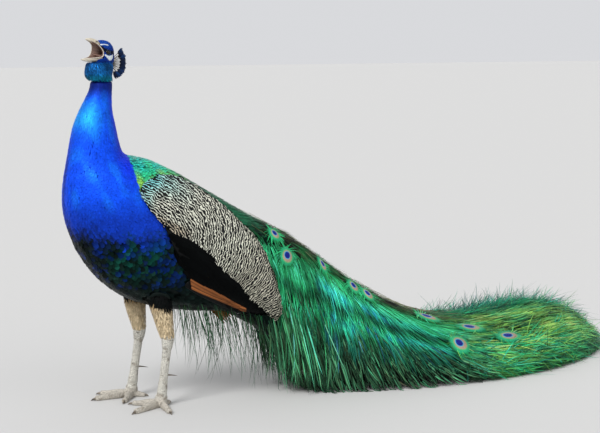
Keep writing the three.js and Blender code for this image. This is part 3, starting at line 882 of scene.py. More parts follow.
def minus(tree, first, second):
    return maths(tree, "SUBTRACT", first, second)


def waveOf(tree, value):  # a sine between nought and one
    return maths(tree, "MULTIPLY_ADD", maths(tree, "SINE", value), 0.5, 0.5)


def soften(tree, value, low, high, start=0.0, end=1.0):  # a smooth step between two levels
    node = put(tree, "ShaderNodeMapRange", interpolation_type="SMOOTHSTEP")
    tree.links.new(value, node.inputs["Value"])
    for label, number in (("From Min", low), ("From Max", high), ("To Min", start), ("To Max", end)):
        node.inputs[label].default_value = number
    return node.outputs[0]


def noise(tree, coords, scale, detail=2.0, rough=0.5):
    node = put(tree, "ShaderNodeTexNoise", Scale=scale, Detail=detail, Roughness=rough)
    tree.links.new(coords, node.inputs["Vector"])
    return node.outputs["Fac"]


def swayed(tree, coords, scale, swing, detail=1.0):  # noise that swings about nought
    return times(tree, minus(tree, noise(tree, coords, scale, detail), 0.5), swing)


def stretched(tree, coords, scale):
    node = put(tree, "ShaderNodeMapping", Scale=scale)
    tree.links.new(coords, node.inputs["Vector"])
    return node.outputs[0]


def newGroup(name, takes, gives):
    group = bpy.data.node_groups.new(name, "ShaderNodeTree")
    for label, kind, value in takes:
        socket = group.interface.new_socket(name=label, in_out="INPUT", socket_type="NodeSocket" + kind)
        if value is not None:
            socket.default_value = value
    for label in gives:
        group.interface.new_socket(name=label, in_out="OUTPUT", socket_type="NodeSocketFloat")
    return group, group.nodes.new("NodeGroupInput").outputs, group.nodes.new("NodeGroupOutput").inputs


fullTurn = 6.2832


def vaneMarksGroup():  # the rim, shaft and barbs of one feather, from its own map
    group, takes, gives = newGroup(
        "vaneMarks",
        [("Vane", "Vector", None), ("Barbs", "Float", 12.0), ("Slant", "Float", 3.0), ("Rim", "Float", 0.2)],
        ["Edge", "Shaft", "Barb"],
    )
    split = put(group, "ShaderNodeSeparateXYZ")
    group.links.new(takes["Vane"], split.inputs[0])
    across, along = split.outputs[0], split.outputs[1]
    away = times(group, maths(group, "ABSOLUTE", minus(group, across, 0.5)), 2.0)
    reach = maths(group, "MAXIMUM", maths(group, "POWER", away, 1.5), maths(group, "POWER", along, 3.0))
    past = maths(group, "MAXIMUM", minus(group, reach, minus(group, 1.0, takes["Rim"])), 0.0)
    slope = times(group, away, maths(group, "DIVIDE", 1.0, takes["Slant"]))
    turns = times(group, minus(group, along, slope), takes["Barbs"])
    wire(group,
         (maths(group, "DIVIDE", past, takes["Rim"]), gives["Edge"]),
         (soften(group, away, 0.16, 0.02), gives["Shaft"]),
         (waveOf(group, times(group, turns, fullTurn)), gives["Barb"]))
    return group


def mottleGroup():  # uneven tone over the bird, at two sizes
    group, takes, gives = newGroup(
        "mottle", [("Vector", "Vector", None), ("Amount", "Float", 0.3)], ["Factor"],
    )
    broad = noise(group, takes["Vector"], 28, 3, 0.55)
    fine = noise(group, takes["Vector"], 240, 2, 0.6)
    both = plus(group, times(group, broad, 0.55), times(group, fine, 0.45))
    swing = times(group, minus(group, both, 0.5), times(group, takes["Amount"], 4.0))
    wire(group, (plus(group, swing, 1.0), gives["Factor"]))
    return group


vaneMarks, mottle = vaneMarksGroup(), mottleGroup()


def placeGroup(tree, group, **values):
    node = put(tree, "ShaderNodeGroup", node_tree=group)
    for label, value in values.items():
        node.inputs[label].default_value = value
    return node


def unevenness(tree, coords, amount):
    node = placeGroup(tree, mottle, Amount=amount)
    tree.links.new(coords, node.inputs["Vector"])
    return node.outputs["Factor"]


def shaded(tree, colour, *factors):  # colour times each factor socket
    for factor in factors:
        node = put(tree, "ShaderNodeVectorMath", operation="SCALE")
        wire(tree, (colour, node.inputs[0]), (factor, node.inputs["Scale"]))
        colour = node.outputs[0]
    return colour


def mixed(tree, share, first, second, how="MIX"):
    node = put(tree, "ShaderNodeMix", data_type="RGBA", blend_type=how)
    for value, slot in ((share, 0), (first, 6), (second, 7)):
        if isinstance(value, (int, float)):
            node.inputs[slot].default_value = value
        elif isinstance(value, tuple):
            node.inputs[slot].default_value = (*value, 1)
        else:
            tree.links.new(value, node.inputs[slot])
    return node.outputs[2]


def attribute(tree, name, output="Fac"):
    return put(tree, "ShaderNodeAttribute", (-900, 200), attribute_name=name).outputs[output]


def vaneMap(tree):
    return put(tree, "ShaderNodeUVMap", (-900, -200), uv_map="vane").outputs["UV"]


def startMaterial(name, metallic=0.0, specular=0.5, coat=0.0):
    material = bpy.data.materials.new(name)
    material.use_nodes = True
    tree = material.node_tree
    tree.nodes.clear()
    surface = put(tree, "ShaderNodeBsdfPrincipled", (300, 0), Metallic=metallic)
    surface.inputs["Specular IOR Level"].default_value = specular
    surface.inputs["Coat Weight"].default_value = coat
    out = put(tree, "ShaderNodeOutputMaterial", (600, 0))
    wire(tree, (surface.outputs[0], out.inputs[0]))
    coords = put(tree, "ShaderNodeTexCoord", (-900, 0)).outputs["Object"]
    return material, tree, surface, coords, attribute(tree, "tone", "Color")


def finishMaterial(tree, surface, colour, rough, height, strength, distance):
    bump = put(tree, "ShaderNodeBump", (100, -300), Strength=strength, Distance=distance)
    wire(tree, (colour, surface.inputs["Base Color"]), (rough, surface.inputs["Roughness"]),
         (height, bump.inputs["Height"]), (bump.outputs[0], surface.inputs["Normal"]))


barTones = {"gap": (0.004, 0.005, 0.005)}
vaneRelief, hideRelief = 0.0004, 0.0007  # bump depths in metres


def barredTone(tree, coords, tone):  # wavy bars, counted by the piece's own attribute
    phase = attribute(tree, "bars")
    turns = plus(tree, plus(tree, phase, swayed(tree, coords, 42, 2.0)), swayed(tree, coords, 125, 1.6))
    wave = maths(tree, "SINE", times(tree, turns, fullTurn))
    bars = soften(tree, plus(tree, wave, swayed(tree, coords, 75, 1.4)), 0.34, 0.56)
    return mixed(tree, bars, barTones["gap"], tone)


def plumage(name, metallic=0.35, rough=(0.34, 0.52), barbs=10, slant=2.2, rim=0.3, rimShade=0.35, mottled=0.3,
            barbShade=0.18, shaft=0.0, shaftTone=None, relief=0.35, barred=False, specular=0.2):
    material, tree, surface, coords, tone = startMaterial(name, metallic, specular)
    marks = placeGroup(tree, vaneMarks, Barbs=barbs, Slant=slant, Rim=rim)
    wire(tree, (vaneMap(tree), marks.inputs["Vane"]))
    edge, quill, barb = (marks.outputs[label] for label in ("Edge", "Shaft", "Barb"))
    if barred:
        tone = barredTone(tree, coords, tone)
    factor = times(tree, unevenness(tree, coords, mottled), minus(tree, 1.0, times(tree, edge, rimShade)))
    factor = times(tree, factor, minus(tree, 1.0, times(tree, barb, barbShade)))
    colour = shaded(tree, tone, factor)
    if shaft:
        colour = mixed(tree, times(tree, quill, shaft), colour, shaftTone)
    roughness = soften(tree, noise(tree, coords, 160), 0.3, 0.7, *rough)
    height = plus(tree, times(tree, barb, 0.6), quill)
    finishMaterial(tree, surface, colour, roughness, height, relief, vaneRelief)
    return material


def skinFinish(name):
    material, tree, surface, coords, tone = startMaterial(name, 0.1, 0.12)
    scaly = attribute(tree, "scaly")
    cells = put(tree, "ShaderNodeTexVoronoi", (-600, -300), feature="DISTANCE_TO_EDGE", Scale=260)
    wire(tree, (stretched(tree, coords, (0.8, 0.8, 1.25)), cells.inputs["Vector"]))
    plates = soften(tree, cells.outputs["Distance"], 0.0, 0.16)
    height = mixed(tree, scaly, noise(tree, coords, 900, 2.0, 0.7), plates)
    groove = minus(tree, 1.0, times(tree, minus(tree, 1.0, plates), times(tree, scaly, 0.62)))
    colour = shaded(tree, tone, unevenness(tree, coords, 0.22), groove)
    roughness = soften(tree, noise(tree, coords, 300), 0.3, 0.7, 0.45, 0.62)
    finishMaterial(tree, surface, colour, roughness, height, 0.5, hideRelief)
    return material


def grainFinish(name, metallic=0.0, specular=0.4, stretch=(1.0, 0.2, 1.0), scale=420.0, shade=(0.78, 1.15),
                rough=(0.32, 0.5), relief=0.25, depth=vaneRelief):  # horn, flesh, and the train's bed of painted shade
    material, tree, surface, coords, tone = startMaterial(name, metallic, specular)
    grain = noise(tree, stretched(tree, coords, stretch), scale, 3.0, 0.6)
    colour = shaded(tree, tone, unevenness(tree, coords, 0.3), soften(tree, grain, 0.3, 0.7, *shade))
    finishMaterial(tree, surface, colour, soften(tree, grain, 0.3, 0.7, *rough), grain, relief, depth)
    return material


# the face, and the skin's colours, painted shade among them

footTones = {"shank": (0.66, 0.64, 0.57), "toe": (0.56, 0.52, 0.45), "shade": (0.25, 0.21, 0.16)}
faceSet = {
    "above": 890, "lidAt": 6.2, "lidWide": 1.3, "lidRise": 1.3, "browRise": 0.8, "cheekRise": 0.9,
    "fold": 0.18, "foldFrom": -110,
}
hideSet = {
    "wingsAbove": 200, "sandBelow": 262, "headAbove": 856, "legsBelow": 196, "legsBefore": 160,
    "plates": (-192, -180),
}


def shapeFace(points):  # lids round the eyes, the raised white skin, and fine folds
    normals = readPoints(skin.data, "normal")
    rows = np.nonzero(points[:, 2] > faceSet["above"])[0]
    own = turned(points[rows], -headTurn)
    brow, cheek, eye = faceMasks(own)[:3]
    ring = hump(eye, faceSet["lidAt"], faceSet["lidWide"]) * faceSet["lidRise"]
    rise = ring + faceSet["browRise"] * ramp(-brow, -2.6, -1.2) + faceSet["cheekRise"] * ramp(cheek, -1, 1.2)
    folds = np.sin(eye * 3.2) * hump(eye, 11, 5) * faceSet["fold"]
    points[rows] += normals[rows] * (rise + folds * (own[:, 1] > faceSet["foldFrom"]))[:, None]
    return points


def legTone(points):
    return layered(
        flatTone(footTones["shank"], len(points)),
        (footTones["toe"], ramp(-points[:, 2], -34, -18)),
        (footTones["shade"], 0.6 * ramp(jitter(points, 7, 31), 0.2, 0.9)),
    )


spots = shapeFace(birdPoints(skin))
placePoints(skin, spots)
wingDepth = depthIn("wings", spots)
thighDepth = depthIn("thighs", spots)
high, behind = spots[:, 2], spots[:, 1] < hideSet["legsBefore"]
paint(skin.data, layered(
    # the body's tones, a little darker: painted shade in the gaps between the feathers
    bodyTone(spots) * 0.9,
    # black under the wings: the secondaries' own colour, and painted shade in the gaps between the barred and
    # rufous feathers
    (wingTones["black"], (wingDepth > 0) & (high > hideSet["wingsAbove"])),
    (wingTones["sand"], (np.abs(thighDepth - 5) < 6) & (high < hideSet["sandBelow"])),
    (headTone(spots), ramp(high, hideSet["headAbove"], hideSet["headAbove"] + 6)),
    (legTone(spots), ramp(-high, -hideSet["legsBelow"], 10 - hideSet["legsBelow"]) * behind),
))
storeValue(skin.data, "scaly", ramp(-high, *hideSet["plates"]) * behind)
fleshNodes = ["head", "throat"] + bodyNodes + wingNodes + pairOf("thigh") + pairOf("shank") + pairOf("foot")
finishPiece(skin, skinFinish("birdSkin"), "dark_green_plumage", *fleshNodes)
print(f"skin: {len(trianglesOf(skin.data))} triangles")

# bill, tongue, claws and spurs

hornTones = {
    "bill": (0.52, 0.46, 0.35),
    "billTip": (0.62, 0.57, 0.46),
    "billDark": (0.20, 0.15, 0.11),
    "inside": (0.22, 0.13, 0.10),
    "claw": (0.20, 0.165, 0.125),
    "clawTip": (0.06, 0.05, 0.04),
    "tongue": (0.27, 0.16, 0.125),
    "rim": (0.66, 0.60, 0.50),
}
hornVoxel = 0.0007  # metres


def finePiece(name, source, passes, toning, material, slot):
    piece = blankOf(name, source, hornVoxel, passes)
    paint(piece.data, toning(birdPoints(piece)))
    finishPiece(piece, material, slot, *source)


palateEdge = ((117, 122, 127, 133, 143, 153, 158), (939, 941, 943.5, 948, 952, 955.6, 957.8))  # -y, and z


def upperTone(points):
    t, own = hornTones, turned(points, -headTurn)
    x, y, z = own.T
    palate = np.interp(z - np.interp(-y, *palateEdge), (0.8, 2.4), (1, 0))
    nostril = ((y + 129.5) / 4.4) ** 2 + ((z - 952.6) / 1.5) ** 2
    return layered(
        flatTone(t["bill"], len(own)),
        (t["billTip"], ramp(-y, 132, 160)),
        (t["billDark"], 0.5 * ramp(y, -132, -120)),
        # the nostril is only a painted dark slit: painted shade of its opening
        (np.array(t["billDark"]) * 0.25, ramp(-nostril, -1.3, -0.7) * (np.abs(x) > 3)),
        (t["inside"], palate * (y > -156)),
    )


def lowerTone(points):
    t, own = hornTones, turned(points, -headTurn)
    x, y, z = own.T
    return layered(
        flatTone(t["bill"], len(own)),
        (t["billTip"], ramp(-y, 140, 162)),
        (t["inside"], ramp(z, 908, 912) * (np.abs(x) < 6) * ramp(y, -160, -146)),
    )


def tongueTone(points):
    return flatTone(hornTones["tongue"], len(points))


horn = grainFinish("billHorn")
flesh = grainFinish("mouthFlesh", rough=(0.25, 0.4), scale=500.0, relief=0.4)
finePiece("billUpper", ["bill_upper"], 5, upperTone, horn, "bill_horn")
finePiece("billLower", ["bill_lower"], 5, lowerTone, horn, "bill_horn")
finePiece("tongueFlesh", ["tongue"], 6, tongueTone, flesh, "mouth_flesh")

gapeRing = np.array([  # the edge of the open mouth, unturned, from the upper tip round the left side
    (0, -155, 957.4), (7, -146.5, 955.0), (10.6, -137, 951.2), (12.2, -128, 946.0), (12.9, -119, 938.0),
    (13.6, -111.5, 926.0), (14.4, -115, 915.5), (14.0, -126, 913.2), (12.0, -140, 912.0), (7.8, -154, 910.9),
    (0, -165, 910.2), (-7.8, -154, 911.2), (-11.6, -142, 914.0), (-12.9, -134, 921.0), (-13.1, -130, 932.0),
    (-12.4, -130, 943.0), (-10.6, -137, 950.6), (-7, -146.5, 955.0),
])
gapeSet = {
    "around": 90, "deep": 22, "folds": 17, "foldRise": 0.45, "wall": 0.5,
    "throat": np.array([0, -104, 921]), "throatSize": np.array([4.5, 0.5, 4.0]),
    "middle": np.array([0, -122, 928]), "back": np.array([0, -120, 928]),
    "level": 926,  # between the two halves of the bill
    "bow": np.array([0.42, 0.5, 1.0]), "bowShift": np.array([0, -59.0, 0]),  # draws the walls inwards
    "rim": 1.0, "rimAround": 120, "rimSides": 8, "rimLevel": 927,
}


def gapeSpline(number):  # points of a smooth closed curve through the ring
    knots = len(gapeRing)
    at = np.arange(number) / number * knots
    low = np.floor(at).astype(int)
    part = (at - low)[:, None]
    a, b, c, d = (gapeRing[(low + step) % knots] for step in (-1, 0, 1, 2))
    square, cube = 2 * a - 5 * b + 4 * c - d, 3 * b - a - 3 * c + d
    return 0.5 * (2 * b + (c - a) * part + square * part ** 2 + cube * part ** 3)


def gridPiece(name, laid, closed, tones, material, slot):
    # a grid of points that meets itself along each row, and where it is closed down each column too
    rows, columns = laid.shape[:2]
    row, column = np.meshgrid(np.arange(rows if closed else rows - 1), np.arange(columns), indexing="ij")
    a = (row * columns + column).ravel()
    b = (row * columns + (column + 1) % columns).ravel()
    c, d = (b + columns) % (rows * columns), (a + columns) % (rows * columns)
    corners = np.concatenate([stacked(a, b, c), stacked(a, c, d)])
    mesh = bpy.data.meshes.new(name)
    mesh.from_pydata(inFrame(turned(laid.reshape(-1, 3), headTurn)).tolist(), [], corners.tolist())
    paint(mesh, tones)
    return finishPiece(linked(name, mesh), material, slot)


def mouthLining():
    around, deep = gapeSet["around"], gapeSet["deep"]
    edge = gapeSpline(around)
    end = gapeSet["throat"] + unit(edge - gapeSet["back"]) * gapeSet["throatSize"]
    height, level = edge[:, 2], gapeSet["level"]
    upper = ramp(height, level, level + 20)
    bend = gapeSet["bow"] * edge + gapeSet["bowShift"]
    bend[:, 2] = height * (0.4 + 0.6 * upper) + level * 0.6 * (1 - upper) + 1.5 * upper
    bend[:, 2] = np.where(height < level - 8, height + 1.5, bend[:, 2])
    share = (np.linspace(0, 1, deep) ** 1.15)[:, None, None]
    laid = edge * (1 - share) ** 2 + 2 * share * (1 - share) * bend + share ** 2 * end
    folds = np.sin(np.linspace(0, 2 * np.pi, around, endpoint=False) * gapeSet["folds"])[None, :, None]
    inward = unit(gapeSet["middle"] - laid)
    laid = laid + inward * folds * gapeSet["foldRise"] * np.sin(np.pi * share)
    depth, crease = (np.broadcast_to(part[..., 0], laid.shape[:2]).reshape(-1) for part in (share, folds))
    # painted shade: darker deep in the mouth and along the folds
    tone = layered(
        flatTone(headTones["mouth"], around * deep),
        (headTones["mouthShade"], ramp(depth, 0.45, 1)),
        (headTones["mouthShade"], 0.45 * ramp(crease, 0, 1)),
    )
    finish = grainFinish("mouthLining", rough=(0.3, 0.46), scale=500.0, relief=0.5)
    piece = gridPiece("mouthLining", laid, False, tone, finish, "mouth_flesh")
    applyModifier(piece, "SOLIDIFY", thickness=gapeSet["wall"] / 1000, offset=1)


def mouthRim():  # the pale edge that joins the two halves of the bill at the corners
    number, sides = gapeSet["rimAround"], gapeSet["rimSides"]
    edge = gapeSpline(number)
    ahead = unit(np.roll(edge, -1, 0) - np.roll(edge, 1, 0))
    outward = alongSurface(unit(edge - gapeSet["middle"]), ahead)
    over = np.cross(ahead, outward)
    corner = ramp(-np.abs(edge[:, 2] - gapeSet["rimLevel"]), -24, -6)
    thick = gapeSet["rim"] * (0.45 + 0.75 * corner)[:, None]
    turns = np.linspace(0, 2 * np.pi, sides, endpoint=False)
    rings = np.stack([edge + (outward * np.cos(turn) + over * np.sin(turn)) * thick for turn in turns], 1)
    gridPiece("mouthRim", rings, True, flatTone(hornTones["rim"], number * sides), horn, "bill_horn")


mouthLining()
mouthRim()
print("bill and mouth ready")


def clawTone(points):
    tip = ramp(jitter(points, 6, 61), -0.2, 0.8)
    return blendTone(flatTone(hornTones["claw"], len(points)), hornTones["clawTip"], tip)


claws = [f"claw_{toe}_{side}" for toe in ("middle", "inner", "outer", "hind") for side in sideNames]
clawHorn = grainFinish("clawHorn")
finePiece("claws", claws, 5, clawTone, clawHorn, "claw_horn")

spurSet = {"high": 78, "length": 31, "thick": 2.9, "bend": -3.5, "sunk": 4, "droop": 1.5}


def spur(name, foot):  # the curved spur behind a shank
    deselectAll()
    bpy.ops.mesh.primitive_cone_add(vertices=14, radius1=1, radius2=0.12, depth=1)
    piece = bpy.context.object
    openEdit()
    bpy.ops.mesh.subdivide(number_cuts=3)
    closeEdit()
    x, y, z = readPoints(piece.data).T
    share = z + 0.5
    points = foot + stacked(
        x * spurSet["thick"],
        share * spurSet["length"] - spurSet["sunk"],
        y * spurSet["thick"] + spurSet["bend"] * share ** 2 - spurSet["droop"] * share,
    )
    placePoints(piece, points)
    piece.name = piece.data.name = name
    paint(piece.data, clawTone(points))
    finishPiece(piece, clawHorn, "claw_horn")


for side, sign in zip(sideNames, sideSigns):
    shank = guides["legs"]["points"]
    shank = shank[(np.abs(shank[:, 2] - spurSet["high"]) < 4) & (shank[:, 0] * sign > 0)]
    spur(f"spur{side.capitalize()}", shank[shank[:, 1].argmax()])

# the eyes

eyeSet = {
    "radius": 6.3, "iris": 4.3, "pupil": 2.7, "cornea": 0.7, "corneaWide": 3.2,
    "forward": math.radians(30), "upward": 0.05,
}
eyeTones = {
    "pupil": (0.0015, 0.0015, 0.0015),
    "iris": (0.060, 0.042, 0.030),
    "irisRim": (0.006, 0.003, 0.002),
    "white": (0.02, 0.018, 0.016),
}


def eyeFinish():
    material, tree, surface, coords, tone = startMaterial("eyeGloss", 0.0, 0.12, 0.3)
    surface.inputs["Coat Roughness"].default_value = 0.03
    fleck = noise(tree, coords, 2600, 2.0, 0.6)
    colour = shaded(tree, tone, soften(tree, fleck, 0.3, 0.7, 0.7, 1.3))
    finishMaterial(tree, surface, colour, soften(tree, fleck, 0.2, 0.8, 0.08, 0.16), fleck, 0.05, 0.0001)
    return material


def eyeball(side, sign, gloss):
    low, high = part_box(f"eye_{side}")
    deselectAll()
    bpy.ops.mesh.primitive_uv_sphere_add(segments=40, ring_count=28, radius=eyeSet["radius"] / 1000)
    eye = bpy.context.object
    eye.name = eye.data.name = f"eye{side.capitalize()}"
    ball = readPoints(eye.data) * 1000
    away = np.hypot(ball[:, 0], ball[:, 1])
    front = ball[:, 2] > 0
    ball[:, 2] += front * eyeSet["cornea"] * hump(away, 0, eyeSet["corneaWide"])  # the cornea stands proud
    iris, pupil = eyeSet["iris"], eyeSet["pupil"]
    paint(eye.data, layered(
        flatTone(eyeTones["white"], len(ball)),
        (eyeTones["irisRim"], ramp(-away, -iris - 0.5, -iris) * front),
        (eyeTones["iris"], ramp(-away, -iris + 0.3, -iris + 1.0) * front),
        (eyeTones["pupil"], ramp(-away, -pupil - 0.15, -pupil + 0.15) * front),
    ))
    gaze = (sign * math.cos(eyeSet["forward"]), -math.sin(eyeSet["forward"]), eyeSet["upward"])
    turn = np.array(Vector(turnedWay(gaze)).to_track_quat("Z", "Y").to_matrix())
    writePoints(eye.data, ball / 1000 @ turn.T + (np.array(low) + np.array(high)) / 2)
    finishPiece(eye, gloss, "eye_gloss", f"eye_{side}")


eyeGloss = eyeFinish()
for side, sign in zip(sideNames, sideSigns):
    eyeball(side, sign, eyeGloss)
print("claws and eyes ready")

# the crest

crestSet = {
    "count": 25, "low": -56, "high": 40, "reach": 61, "lean": 3.4, "root": 14.5, "bow": 2.0,
    "paddle": 19, "wide": 8.4, "shaft": 1.2, "barbs": 7, "barbWide": 3.3,
    "middle": (-88, 896),  # y and z of the point that the quills fan out from
}
crestTones = {
    "shaft": (0.13, 0.10, 0.052),
    "root": (0.10, 0.10, 0.09),
    "paddle": (0.003, 0.010, 0.042),
    "gleam": (0.004, 0.035, 0.13),
}


def crestBatches():
    count, barbs = crestSet["count"], crestSet["barbs"]
    share = np.linspace(0, 1, count)
    turn = np.radians(crestSet["low"] + (crestSet["high"] - crestSet["low"]) * share)
    rise = np.sin(np.pi / 2 * np.minimum(2 * share, 1))
    reach = crestSet["reach"] * (0.82 + 0.18 * rise) + dice.uniform(-5, -0.5, count)
    lean = crestSet["lean"] * np.sin(np.arange(count) * 2.4)
    marks = longVane["marks"][:, None]
    fanY, fanZ = crestSet["middle"]

    def line(start, end):
        r = start + (end - start) * marks
        bow = crestSet["bow"] * np.sin(np.pi * np.clip(r / reach, 0, 1))
        place = stacked(lean * r / reach, fanY + r * np.cos(turn), fanZ + r * np.sin(turn) + bow)
        return turned(place, headTurn)

    over = turnedWay((1.0, 0, 0))
    path = line(crestSet["root"] / np.cos(turn), reach - 9)
    shafts = vanesAlong(*quillVane, path, np.broadcast_to(over, path.shape), crestSet["shaft"], 0.75)
    shape = shafts["points"].shape[:2]
    rooted = np.broadcast_to(1 - ramp(longVane["along"], 0, 0.35), shape)
    shafts["tone"] = blendTone(flatTone(crestTones["shaft"], *shape), crestTones["root"], rooted)
    # each paddle is a fan of loose barbs about the end of its shaft
    fan = np.tile(np.linspace(-1, 1, barbs), count)
    which = np.repeat(np.arange(count), barbs)
    ends = line(reach - crestSet["paddle"], reach)
    start, along = ends[0][which], ends[-1][which] - ends[0][which]
    across = unit(np.cross(along, over))
    spread = across * (fan * crestSet["wide"] / 2)[:, None] + over * dice.normal(0, 0.7, len(fan))[:, None]
    longer = along * (1 - 0.16 * np.abs(fan) + dice.normal(0, 0.03, len(fan)))[:, None]
    opening = np.sin(np.pi / 2 * np.minimum(marks[:, None] * 1.5, 1))
    path = start + longer * marks[:, None] + spread * opening
    paddles = vanesAlong(*slimVane, path, np.broadcast_to(over, path.shape), crestSet["barbWide"], 0.6)
    gleam = dice.random(count)[which] ** 2
    tones = blendTone(flatTone(crestTones["paddle"], len(fan)), crestTones["gleam"], gleam)
    tint(paddles, tones, 0.7, 1.3, 0.25)
    shafts["bake"] = stacked(0.1 + 0.8 * share, 0.25)
    paddles["bake"] = stacked(0.1 + 0.8 * share[which], 0.75 + 0.02 * fan)
    return shafts, paddles


shafts, paddles = crestBatches()
shaftFinish = plumage("crestShafts", 0.0, (0.45, 0.6), rimShade=0.0, barbs=40, mottled=0.2, relief=0.2)
paddleFinish = plumage("crestPaddles", 0.5, (0.34, 0.48), rimShade=0.3, rim=0.4, barbs=12)
coatPiece("crestPaddles", [paddles], paddleFinish, "crest_feathers", "crest")
coatPiece("crestShafts", [shafts], shaftFinish, "crest_feathers")

# the coat of the head, neck and body

spineFlow, wingFlow = lineFlow(spineLine), lineFlow(wingLine)


def turnShare(x, y):  # the angle about an upright or lying line, as a share of a turn about the middle
    return 0.5 + np.arctan2(x, y) / 6.6


def bodyUnwrap(roots):  # distance along the spine, and the angle about it
    run, above = alongLine(spineLine, roots)[:2]
    return stacked(0.02 + 0.96 * np.clip(run / 900, 0, 1), turnShare(roots[:, 0], -above))


coatSet = {  # spacing, length and width in mm, how far the tips lift, and how the tone runs
    "neck": {"spacing": 3.1, "length": 10.8, "width": 4.5, "lift": 0.6},
    "breast": {"spacing": 4.0, "length": 14.5, "width": 6.2, "lift": 0.8},
    "belly": {"spacing": 8.0, "length": 24, "width": 14, "lift": 2.6, "tone": (0.15, 2.0, 0.3)},
    "mantle": {"spacing": 4.9, "length": 12.5, "width": 7.4, "lift": 1.6, "tone": (0.45, 1.35, 0.22)},
    "back": {"spacing": 8.0, "length": 24, "width": 9.0, "lift": 2.2},
}
zoneSet = {"neckRun": 205, "bellyBelow": 452, "backFrom": 45, "trainFrom": 400, "headAbove": 872}


def bodyZone(points):  # which row of coatSet covers each point
    run = alongLine(spineLine, points)[0]
    y, z = points.T[1:]
    behind = (y > np.interp(z, *backLine)) & (z > 470)
    zone = np.full(len(points), 1)
    zone[run < zoneSet["neckRun"]] = 0
    zone[(z < zoneSet["bellyBelow"]) & (y < zoneSet["trainFrom"])] = 2
    zone[behind] = 3
    zone[behind & (y > zoneSet["backFrom"])] = 4
    zone[(y > 62) & (z > 440)] = 4
    return zone


def coatZone(name, index):
    sizes, guide = coatSet[name], guides["body"]

    def keep(spots):
        inside = (bodyZone(spots) == index) & (spots[:, 1] < zoneSet["trainFrom"])
        return inside & ~((spots[:, 2] > zoneSet["headAbove"]) & (index == 0))

    roots = scatter(guide, sizes["spacing"], keep)
    roots = roots[depthIn("wings", roots) < 4]
    roots = roots[~(np.abs(depthIn("thighs", roots) - 13) < 10) | (roots[:, 2] > 320)]
    if name == "neck":
        roots = roots[depthIn("head", roots) < 9]
    number = len(roots)
    vane = slimVane if name in ("neck", "back") else scaleVane
    size = np.exp(dice.normal(0, 0.1, number))
    lift = (-0.6, sizes["lift"] + dice.normal(0, 0.25, number))
    length, width = sizes["length"] * size, sizes["width"] * size
    batch = layVanes(guide, *vane, roots, spineFlow, length, width, lift, 0.35, 7)
    tint(batch, bodyTone(roots), *sizes.get("tone", (0.9, 1.05, 0.08)))
    batch["bake"] = bodyUnwrap(roots)
    return batch


velvet = plumage("velvetPlumage", 0.45, (0.42, 0.56), rimShade=0.06, rim=0.5, barbs=5, barbShade=0.06,
                 relief=0.22, specular=0.1)
scaled = plumage("scaledPlumage", 0.55, (0.3, 0.44), rimShade=0.9, rim=0.36, barbs=7, mottled=0.25)
dark = plumage("darkPlumage", 0.85, (0.36, 0.5), rimShade=0.1, rim=0.45, barbs=9, specular=0.1)
bodyCoat = {name: coatZone(name, index) for index, name in enumerate(coatSet)}
coatPiece("neckCoat", [bodyCoat["neck"]], velvet, "blue_plumage")
coatPiece("breastCoat", [bodyCoat["breast"]], velvet, "blue_plumage")
coatPiece("bellyCoat", [bodyCoat["belly"]], dark, "dark_green_plumage")
coatPiece("mantleCoat", [bodyCoat["mantle"], bodyCoat["back"]], scaled, "dark_green_plumage")

headSet = {
    "spacing": 1.75, "length": 4.2, "width": 1.6, "ruffSpacing": 2.2, "ruffLength": 9.0, "ruffWidth": 2.1,
    "ruffBelow": 899, "ruffAbove": 858, "split": 879, "from": np.array([0, -134, 938]),
}


def headFlow(place, normal, mark):  # back from the bill on the face, down on the throat
    own = turned(place, -headTurn)
    away = unit(own - headSet["from"])
    share = ramp(-own[:, 2], -912, -896)[:, None]
    return turnedWay(away * (1 - share) + np.array([0, 0.25, -1.0]) * share)


def plainFace(low, high):  # where the head is feathered, between two heights
    def keep(spots):
        own = turned(spots, -headTurn)
        x, y, z = own.T
        brow, cheek, eye, hollow = faceMasks(own)
        free = (brow > 2.6) & (cheek < -1.2) & (eye > 8.0 + 3.4 * ramp(-y, 102, 108))
        free &= (hollow > 1.12) | (y > -103)
        lips = (y < -115) & (np.abs(z - 926) < 23) & (np.abs(x) < 12.6)
        return free & ~lips & ~inGape(own) & (z > low) & (z <= high)
    return keep


def headBatches():
    guide = guides["head"]
    roots = scatter(guide, headSet["spacing"], plainFace(headSet["ruffBelow"], 970))
    size = (headSet["length"], headSet["width"])
    batches = [layVanes(guide, *slimVane, roots, headFlow, *size, (-0.1, 0.55), 0.2, 7)]
    tint(batches[0], headTone(roots), 0.7, 1.1, 0.16)
    roots = scatter(guide, headSet["ruffSpacing"], plainFace(850, headSet["ruffBelow"]))
    roots = roots[(roots[:, 2] > headSet["ruffAbove"]) & (depthIn("body", roots) < 2)]
    upper = roots[:, 2] > headSet["split"]
    size = (headSet["ruffLength"], headSet["ruffWidth"])
    for chosen, surface, lift in ((upper, guide, (0.0, 1.6)), (~upper, guides["ruff"], (0.4, 2.2))):
        spots = roots[chosen]
        ruff = layVanes(surface, *slimVane, spots, headFlow, *size, lift, 0.3, 12)
        tint(ruff, headTone(spots) * np.exp(0.35 * jitter(spots, 9, 71))[:, None], 0.4, 1.25, 0.3)
        batches.append(ruff)
    for batch in batches:
        away = unit(batch["roots"] - np.array([0, napeLine, 905]))
        batch["bake"] = stacked(turnShare(away[:, 0], -away[:, 1]), 0.5 + np.arcsin(away[:, 2]) / 3.3)
    return batches


coatPiece("headCoat", headBatches(), velvet, "blue_plumage")

# the wings

wingSet = {
    "covert": {"spacing": 8.8, "length": 31, "width": 18.5, "lift": 2.0},
    "secondary": {"spacing": 13, "length": 80, "width": 15, "lift": 1.6},
    "sunkFront": 15,  # in front of the feet the feathers start from inside the shoulder
    "sunk": 6,
}


